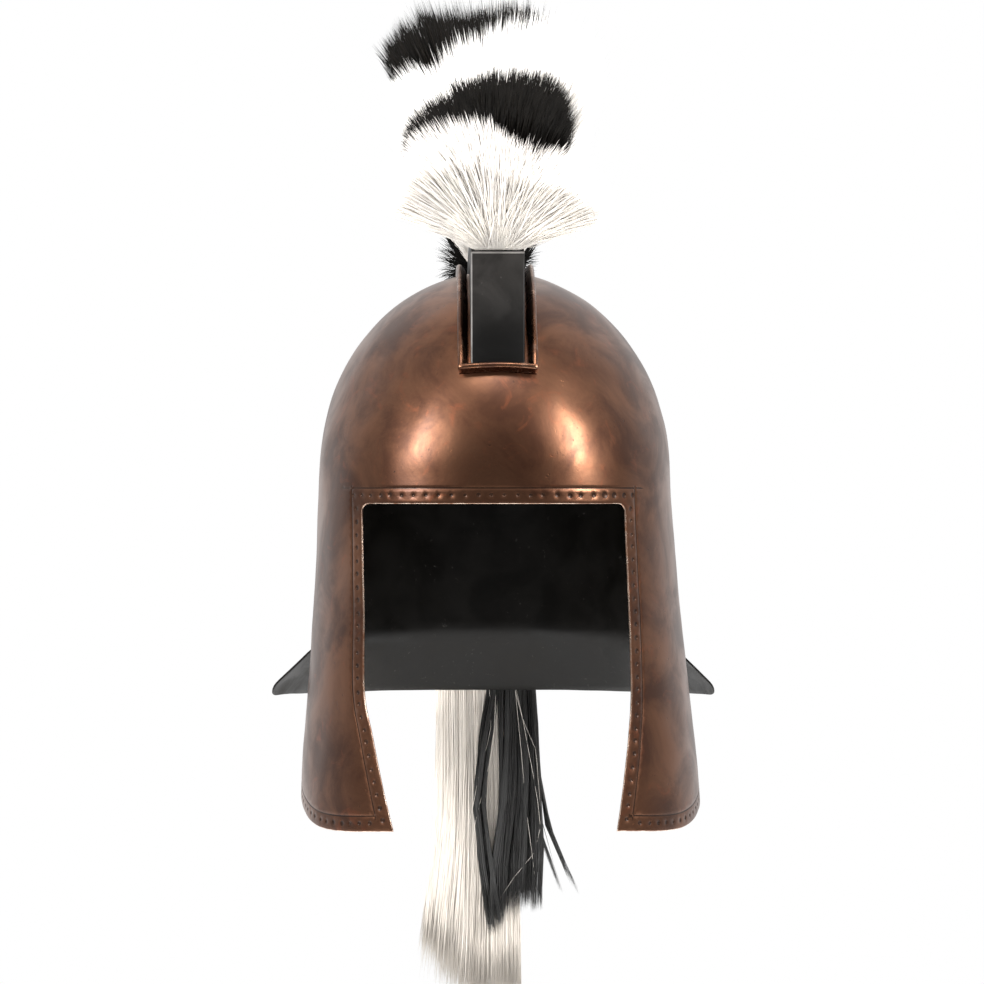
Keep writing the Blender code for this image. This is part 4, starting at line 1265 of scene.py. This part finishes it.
def streak_group():
    """Soft light and dark streaks over hair, and how far up from the roots a place is."""
    group = bpy.data.node_groups.get("hair_streaks")
    if group:
        return group
    group = new_group("hair_streaks", (("Streak Scale", 90.0), ("Root Height", 0.0), ("Tip Height", 0.1)),
                      ("Streak", "Upness"))
    entry = add_node(group, "NodeGroupInput", (-900, 0))
    leave = add_node(group, "NodeGroupOutput", (700, 0))
    where = add_node(group, "ShaderNodeTexCoord", (-900, 300)).outputs["Object"]
    stretch = add_node(group, "ShaderNodeMapping", (-700, 300))
    stretch.inputs["Scale"].default_value = (1.0, 0.7, 0.22)
    group.links.new(where, stretch.inputs["Vector"])
    value = noise(group, (-450, 300), stretch.outputs["Vector"], entry.outputs["Streak Scale"], 3.0, 0.6)
    group.links.new(remap(group, (-200, 300), value, 0.35, 0.66), leave.inputs["Streak"])
    split = add_node(group, "ShaderNodeSeparateXYZ", (-700, -100))
    group.links.new(where, split.inputs[0])
    over = calculate(group, (-450, -100), "SUBTRACT", split.outputs["Z"], entry.outputs["Root Height"])
    span = calculate(group, (-450, -280), "SUBTRACT", entry.outputs["Tip Height"], entry.outputs["Root Height"])
    share = calculate(group, (-200, -160), "DIVIDE", over, span, use_clamp=True)
    group.links.new(share, leave.inputs["Upness"])
    return group


def start_material(name):
    material = bpy.data.materials.new(name)
    material.use_nodes = True
    return material, material.node_tree, material.node_tree.nodes["Principled BSDF"]


def place_group(tree, group, place, **values):
    node = add_node(tree, "ShaderNodeGroup", place, node_tree=group)
    for label, value in values.items():
        node.inputs[label.replace("_", " ").title()].default_value = value
    return node


def add_bump(tree, shader, height, strength, distance):
    bump = add_node(tree, "ShaderNodeBump", (100, -500))
    bump.inputs["Strength"].default_value = strength
    bump.inputs["Distance"].default_value = distance
    tree.links.new(height, bump.inputs["Height"])
    tree.links.new(bump.outputs["Normal"], shader.inputs["Normal"])


def metal_material(name, dark, light, blush, blotch_scale, rough, blush_share=0.5, pits=0.6):
    """Antiqued metal: blotched brown with red showing through, softly polished."""
    material, tree, shader = start_material(name)
    patina = place_group(tree, patina_group(), (-700, 100), blotch_scale=blotch_scale, pit_amount=pits)
    tone = blend_colours(tree, (-400, 300), patina.outputs["Blotch"], dark, light)
    warm = calculate(tree, (-400, 60), "MULTIPLY", patina.outputs["Blush"], blush_share)
    tone = blend_colours(tree, (-200, 300), warm, tone, blush)
    tone = blend_colours(tree, (0, 300), patina.outputs["Pits"], tone, tuple(0.3 * part for part in dark))
    tree.links.new(tone, shader.inputs["Base Color"])
    finish = remap(tree, (-200, -100), patina.outputs["Blotch"], 0.0, 1.0, rough[1], rough[0])
    tree.links.new(finish, shader.inputs["Roughness"])
    shader.inputs["Metallic"].default_value = 1.0
    shader.inputs["Coat Weight"].default_value = 0.45
    shader.inputs["Coat Roughness"].default_value = 0.32
    add_bump(tree, shader, patina.outputs["Height"], 0.35, 0.0004)
    return material


def copper_material(settings):
    return metal_material("copper_sheet", settings.copper_dark, settings.copper_light, settings.copper_blush,
                          26.0, (0.30, 0.40))


def recess_material(settings):
    dark = tuple(0.30 * part for part in settings.copper_dark)
    light = tuple(0.32 * part for part in settings.copper_light)
    return metal_material("copper_recess", dark, light, settings.copper_dark, 60.0, (0.40, 0.55), 0.3)


def edge_material(settings):
    worn = tuple(settings.worn_metal)
    return metal_material("copper_rubbed_edge", settings.copper_light, worn, worn, 140.0, (0.26, 0.36), 0.8, 0.2)


def strip_material(settings):
    dark = tuple(1.1 * part for part in settings.copper_dark)
    light = tuple(0.95 * part for part in settings.copper_light)
    return metal_material("frame_strip", dark, light, settings.worn_metal, 90.0, (0.24, 0.38), 0.35, 0.8)


def paint_like(name, base, rough, speck, bump, gloss=0.35):
    material, tree, shader = start_material(name)
    shader.inputs["Specular IOR Level"].default_value = gloss
    patina = place_group(tree, patina_group(), (-700, 100), blotch_scale=40.0, pit_amount=0.8)
    tone = blend_colours(tree, (-400, 300), patina.outputs["Blotch"], base, tuple(1.9 * part for part in base))
    tone = blend_colours(tree, (-200, 300), patina.outputs["Pits"], tone, speck)
    tree.links.new(tone, shader.inputs["Base Color"])
    finish = remap(tree, (-200, -100), patina.outputs["Blotch"], 0.0, 1.0, rough[0], rough[1])
    tree.links.new(finish, shader.inputs["Roughness"])
    add_bump(tree, shader, patina.outputs["Height"], bump, 0.0004)
    return material


def lining_material():
    return paint_like("inside_paint", (0.0027, 0.0022, 0.0017), (0.38, 0.50), (0.03, 0.027, 0.024), 0.4, 0.20)


def block_paint_and_shade_material(settings):
    """Paint of the block, with painted shade that darkens it towards its foot."""
    material = paint_like("block_paint_and_painted_shade", tuple(settings.paint), (0.40, 0.52), (0.06, 0.055, 0.05), 0.25, 0.16)
    tree, shader = material.node_tree, material.node_tree.nodes["Principled BSDF"]
    # Painted shade: the colour darkens from the block's upper part down to its foot.
    split = add_node(tree, "ShaderNodeSeparateXYZ", (-400, 600))
    tree.links.new(add_node(tree, "ShaderNodeTexCoord", (-600, 600)).outputs["Object"], split.inputs[0])
    height = remap(tree, (-200, 600), split.outputs["Z"], -0.045, -0.005)
    tone = shader.inputs["Base Color"].links[0].from_socket
    deep = tuple(0.28 * part for part in settings.paint)
    tree.links.new(blend_colours(tree, (0, 600), height, deep, tone), shader.inputs["Base Color"])
    return material


# Pale paint that stands in for the highlight along the block's front edges.
def painted_edge_highlight_material():
    return paint_like("painted_edge_highlight", (0.085, 0.080, 0.076), (0.42, 0.55), (0.05, 0.045, 0.04), 0.25)


def hair_material(name, roots, tips, streaked, heights, rough, gloss):
    material, tree, shader = start_material(name)
    shader.inputs["Specular IOR Level"].default_value = gloss
    streak = place_group(tree, streak_group(), (-700, 100), streak_scale=95.0, root_height=heights[0],
                         tip_height=heights[1])
    tone = blend_colours(tree, (-400, 300), streak.outputs["Upness"], roots, tips)
    shade = calculate(tree, (-400, 60), "MULTIPLY", streak.outputs["Streak"], 0.55)
    tone = blend_colours(tree, (-200, 300), shade, tone, streaked)
    tree.links.new(tone, shader.inputs["Base Color"])
    finish = remap(tree, (-200, -100), streak.outputs["Streak"], 0.0, 1.0, rough[0], rough[1])
    tree.links.new(finish, shader.inputs["Roughness"])
    return material


def white_hair_materials(name, roots, tips, heights):
    roots, tips = np.array(tuple(roots)), np.array(tuple(tips))
    warm = mix(roots, tips, 0.55)
    plan = (
        ("bright", roots, tips, tips * 0.97, (0.45, 0.6)),
        ("cream", roots * 0.95, warm, tips, (0.45, 0.6)),
        ("shaded", roots * 0.85, mix(roots, tips, 0.3), warm, (0.5, 0.62)),
    )
    return [hair_material(f"{name}_{label}", *tones, heights, rough, 0.3) for label, *tones, rough in plan]


def black_hair_materials(settings, name, heights, gloss):
    tone = np.array(tuple(settings.black_tone))
    plan = (
        ("deep", tone * 0.7, tone, tone * 1.5, (0.42, 0.6), gloss),
        ("brown", tone, tone * np.array([1.9, 1.7, 1.5]), tone, (0.42, 0.6), gloss * 1.3),
        ("grey", tone * 1.6, tone * 2.6, tone * 1.4, (0.4, 0.5), gloss * 1.6),
    )
    return [hair_material(f"{name}_{label}", *tones, heights, rough, shine)
            for label, *tones, rough, shine in plan]


# Stage


def build_floor(settings):
    turns = np.linspace(0.0, 2.0 * math.pi, 97)[:-1]
    bm = bmesh.new()
    bm.faces.new([bm.verts.new((settings.floor_radius * math.cos(t), settings.floor_radius * math.sin(t),
                                settings.floor_height)) for t in turns])
    mesh = bpy.data.meshes.new("floor")
    bm.to_mesh(mesh)
    bm.free()
    material, tree, shader = start_material("pale_floor")
    where = add_node(tree, "ShaderNodeTexCoord", (-600, 0)).outputs["Object"]
    cloudy = noise(tree, (-400, 0), where, 8.0)
    tree.links.new(blend_colours(tree, (-200, 0), cloudy, (0.92, 0.92, 0.91), (0.96, 0.96, 0.95)),
                   shader.inputs["Base Color"])
    shader.inputs["Roughness"].default_value = 0.7
    mesh.materials.append(material)
    floor = place_object("floor", mesh)


def build_world(settings):
    """White behind the helmet: reflections find it darker in front, and matt surfaces are lit all round."""
    world = bpy.data.worlds.new("studio")
    bpy.context.scene.world = world
    world.use_nodes = True
    tree = world.node_tree
    tree.nodes.clear()
    leave = add_node(tree, "ShaderNodeOutputWorld", (800, 0))
    choose = add_node(tree, "ShaderNodeMixShader", (600, 0))
    seen = add_node(tree, "ShaderNodeBackground", (400, 100))
    seen.inputs["Color"].default_value = (1.0, 1.0, 1.0, 1.0)
    seen.inputs["Strength"].default_value = 1.0
    lit = add_node(tree, "ShaderNodeBackground", (400, -100))
    path = add_node(tree, "ShaderNodeLightPath", (400, 400))
    where = add_node(tree, "ShaderNodeTexCoord", (-800, -100)).outputs["Generated"]
    split = add_node(tree, "ShaderNodeSeparateXYZ", (-600, -100))
    tree.links.new(where, split.inputs[0])
    backness = remap(tree, (-400, -100), split.outputs["Y"], -0.55, 0.75, 0.17, 1.0)
    upness = remap(tree, (-400, -400), split.outputs["Z"], 0.1, 0.9, 0.0, 0.45)
    lowness = remap(tree, (-400, -700), split.outputs["Z"], 0.0, -0.4, 0.0, 0.32)
    total = calculate(tree, (0, -200), "ADD", backness, calculate(tree, (-200, -500), "ADD", upness, lowness))
    soft = add_node(tree, "ShaderNodeMix", (200, -200))
    tree.links.new(path.outputs["Is Diffuse Ray"], soft.inputs[0])
    tree.links.new(total, soft.inputs[2])
    soft.inputs[3].default_value = settings.fill_light
    tree.links.new(soft.outputs[0], lit.inputs["Strength"])
    world.cycles.sampling_method = "NONE"
    tree.links.new(path.outputs["Is Camera Ray"], choose.inputs[0])
    tree.links.new(lit.outputs[0], choose.inputs[1])
    tree.links.new(seen.outputs[0], choose.inputs[2])
    tree.links.new(choose.outputs[0], leave.inputs[0])


def add_softbox(name, azimuth, elevation, distance, size, power):
    light = bpy.data.lights.new(name, "AREA")
    light.shape = "RECTANGLE"
    light.size, light.size_y = size
    light.energy = power
    item = place_object(name, light)
    around, up = math.radians(azimuth), math.radians(elevation)
    aim = Vector((0.0, 0.0, LIGHT_AIM_HEIGHT))
    way = Vector((math.sin(around) * math.cos(up), -math.cos(around) * math.cos(up), math.sin(up)))
    item.location = aim + way * distance
    item.rotation_euler = way.to_track_quat("Z", "Y").to_euler()


def build_camera(settings):
    camera = bpy.data.cameras.new("photo_camera")
    camera.lens = settings.lens
    camera.sensor_width = 36.0
    item = place_object("photo_camera", camera)
    yaw = settings.camera_yaw
    ahead = Vector((math.sin(yaw), math.cos(yaw), 0.0))
    right = Vector((math.cos(yaw), -math.sin(yaw), 0.0))
    item.location = -settings.camera_distance * ahead - CAMERA_ASIDE * right + Vector((0.0, 0.0, CAMERA_HEIGHT))
    item.rotation_euler = (math.radians(90.0), 0.0, -yaw)
    bpy.context.scene.camera = item


# Operators


class HELMET_OT_shell(bpy.types.Operator):
    """Make the hammered copper sheet with its punched border"""

    bl_idname = "helmet.shell"
    bl_label = "Helmet Shell"

    def execute(self, context):
        build_shell(context.scene.helmet_shell)
        return {"FINISHED"}


class HELMET_OT_crest_mount(bpy.types.Operator):
    """Make the soldered strip frame and the painted block that stands in it"""

    bl_idname = "helmet.crest_mount"
    bl_label = "Crest Mount"

    def execute(self, context):
        build_frame(context.scene.helmet_shell)
        build_box(context.scene.helmet_crest)
        return {"FINISHED"}


class HELMET_OT_crest_hair(bpy.types.Operator):
    """Make the six bands of the hair crest"""

    bl_idname = "helmet.crest_hair"
    bl_label = "Crest Hair"

    def execute(self, context):
        settings = context.scene.helmet_crest
        # The front band fades to darker tips: painted shade against the stronger light on its tips.
        front = white_hair_materials("crest_front", settings.white_roots, settings.front_tips, (0.020, 0.075))
        white = white_hair_materials("crest_white", settings.white_roots, settings.white_tips, (0.015, 0.055))
        black = black_hair_materials(settings, "crest_black", (0.015, 0.09), 0.05)
        plan = (
            ("crest_hair_white_front", front, 11400, 3000, 0.42, 101),
            ("crest_hair_black_front", black, 8400, 260, 0.12, 102),
            ("crest_hair_white_top", white, 6900, 820, 0.25, 103),
            ("crest_hair_black_top", black, 7000, 220, 0.12, 104),
            ("crest_hair_white_rear", white, 3000, 150, 0.15, 105),
            ("crest_hair_black_rear", black, 2700, 130, 0.15, 106),
        )
        for index, (name, tone, strands, clumps, fluffy, seed) in enumerate(plan):
            build_band(settings, index, name, tone, strands, clumps, fluffy, seed)
        return {"FINISHED"}


class HELMET_OT_tail(bpy.types.Operator):
    """Make the white and the black hair of the hanging tail"""

    bl_idname = "helmet.tail"
    bl_label = "Hair Tail"

    def execute(self, context):
        settings, crest = context.scene.helmet_tail, context.scene.helmet_crest
        white = white_hair_materials("tail_white", settings.white_lower, settings.white_upper, (-0.43, -0.25))
        black = black_hair_materials(crest, "tail_black", (-0.45, 0.0), 0.75)
        behind = (TAIL_BLACK_THICKNESS + TAIL_LAYER_GAP, TAIL_WHITE_THICKNESS)
        build_tail(settings, "tail_strands_white", WHITE_BUNDLES, behind, 201, white)
        build_tail(settings, "tail_strands_black", BLACK_BUNDLES, (0.0, TAIL_BLACK_THICKNESS), 202, black)
        return {"FINISHED"}


class HELMET_OT_stage(bpy.types.Operator):
    """Set the pale floor, the studio light and the camera"""

    bl_idname = "helmet.stage"
    bl_label = "Studio Stage"

    def execute(self, context):
        settings = context.scene.helmet_stage
        build_floor(settings)
        build_world(settings)
        add_softbox("softbox_left", -49.0, 20.0, 2.0, (0.42, 0.75), settings.softbox_power)
        add_softbox("softbox_right", 52.0, 20.0, 2.0, (0.42, 0.75), settings.softbox_power)
        add_softbox("softbox_top", 0.0, 62.0, 2.2, (1.2, 0.8), settings.softbox_power)
        build_camera(settings)
        context.scene.view_settings.view_transform = "Standard"
        return {"FINISHED"}


class HELMET_PT_panel(bpy.types.Panel):
    """Lists the helmet's pieces in the sidebar"""

    bl_label = "Greek Helmet"
    bl_idname = "HELMET_PT_panel"
    bl_space_type = "VIEW_3D"
    bl_region_type = "UI"
    bl_category = "Helmet"

    def draw(self, context):
        for operator in OPERATORS:
            self.layout.operator(operator.bl_idname)


OPERATORS = (HELMET_OT_shell, HELMET_OT_crest_mount, HELMET_OT_crest_hair, HELMET_OT_tail, HELMET_OT_stage)
SETTINGS = (
    ("helmet_shell", HelmetShellSettings),
    ("helmet_crest", HelmetCrestSettings),
    ("helmet_tail", HelmetTailSettings),
    ("helmet_stage", HelmetStageSettings),
)


def register():
    for label, settings in SETTINGS:
        bpy.utils.register_class(settings)
        setattr(bpy.types.Scene, label, PointerProperty(type=settings))
    for item in OPERATORS + (HELMET_PT_panel,):
        bpy.utils.register_class(item)


def unregister():
    for item in (HELMET_PT_panel,) + OPERATORS[::-1]:
        bpy.utils.unregister_class(item)
    for label, settings in SETTINGS[::-1]:
        delattr(bpy.types.Scene, label)
        bpy.utils.unregister_class(settings)


def main():
    register()
    bpy.ops.helmet.shell()
    bpy.ops.helmet.crest_mount()
    bpy.ops.helmet.crest_hair()
    bpy.ops.helmet.tail()
    bpy.ops.helmet.stage()


if __name__ == "__main__":
    main()
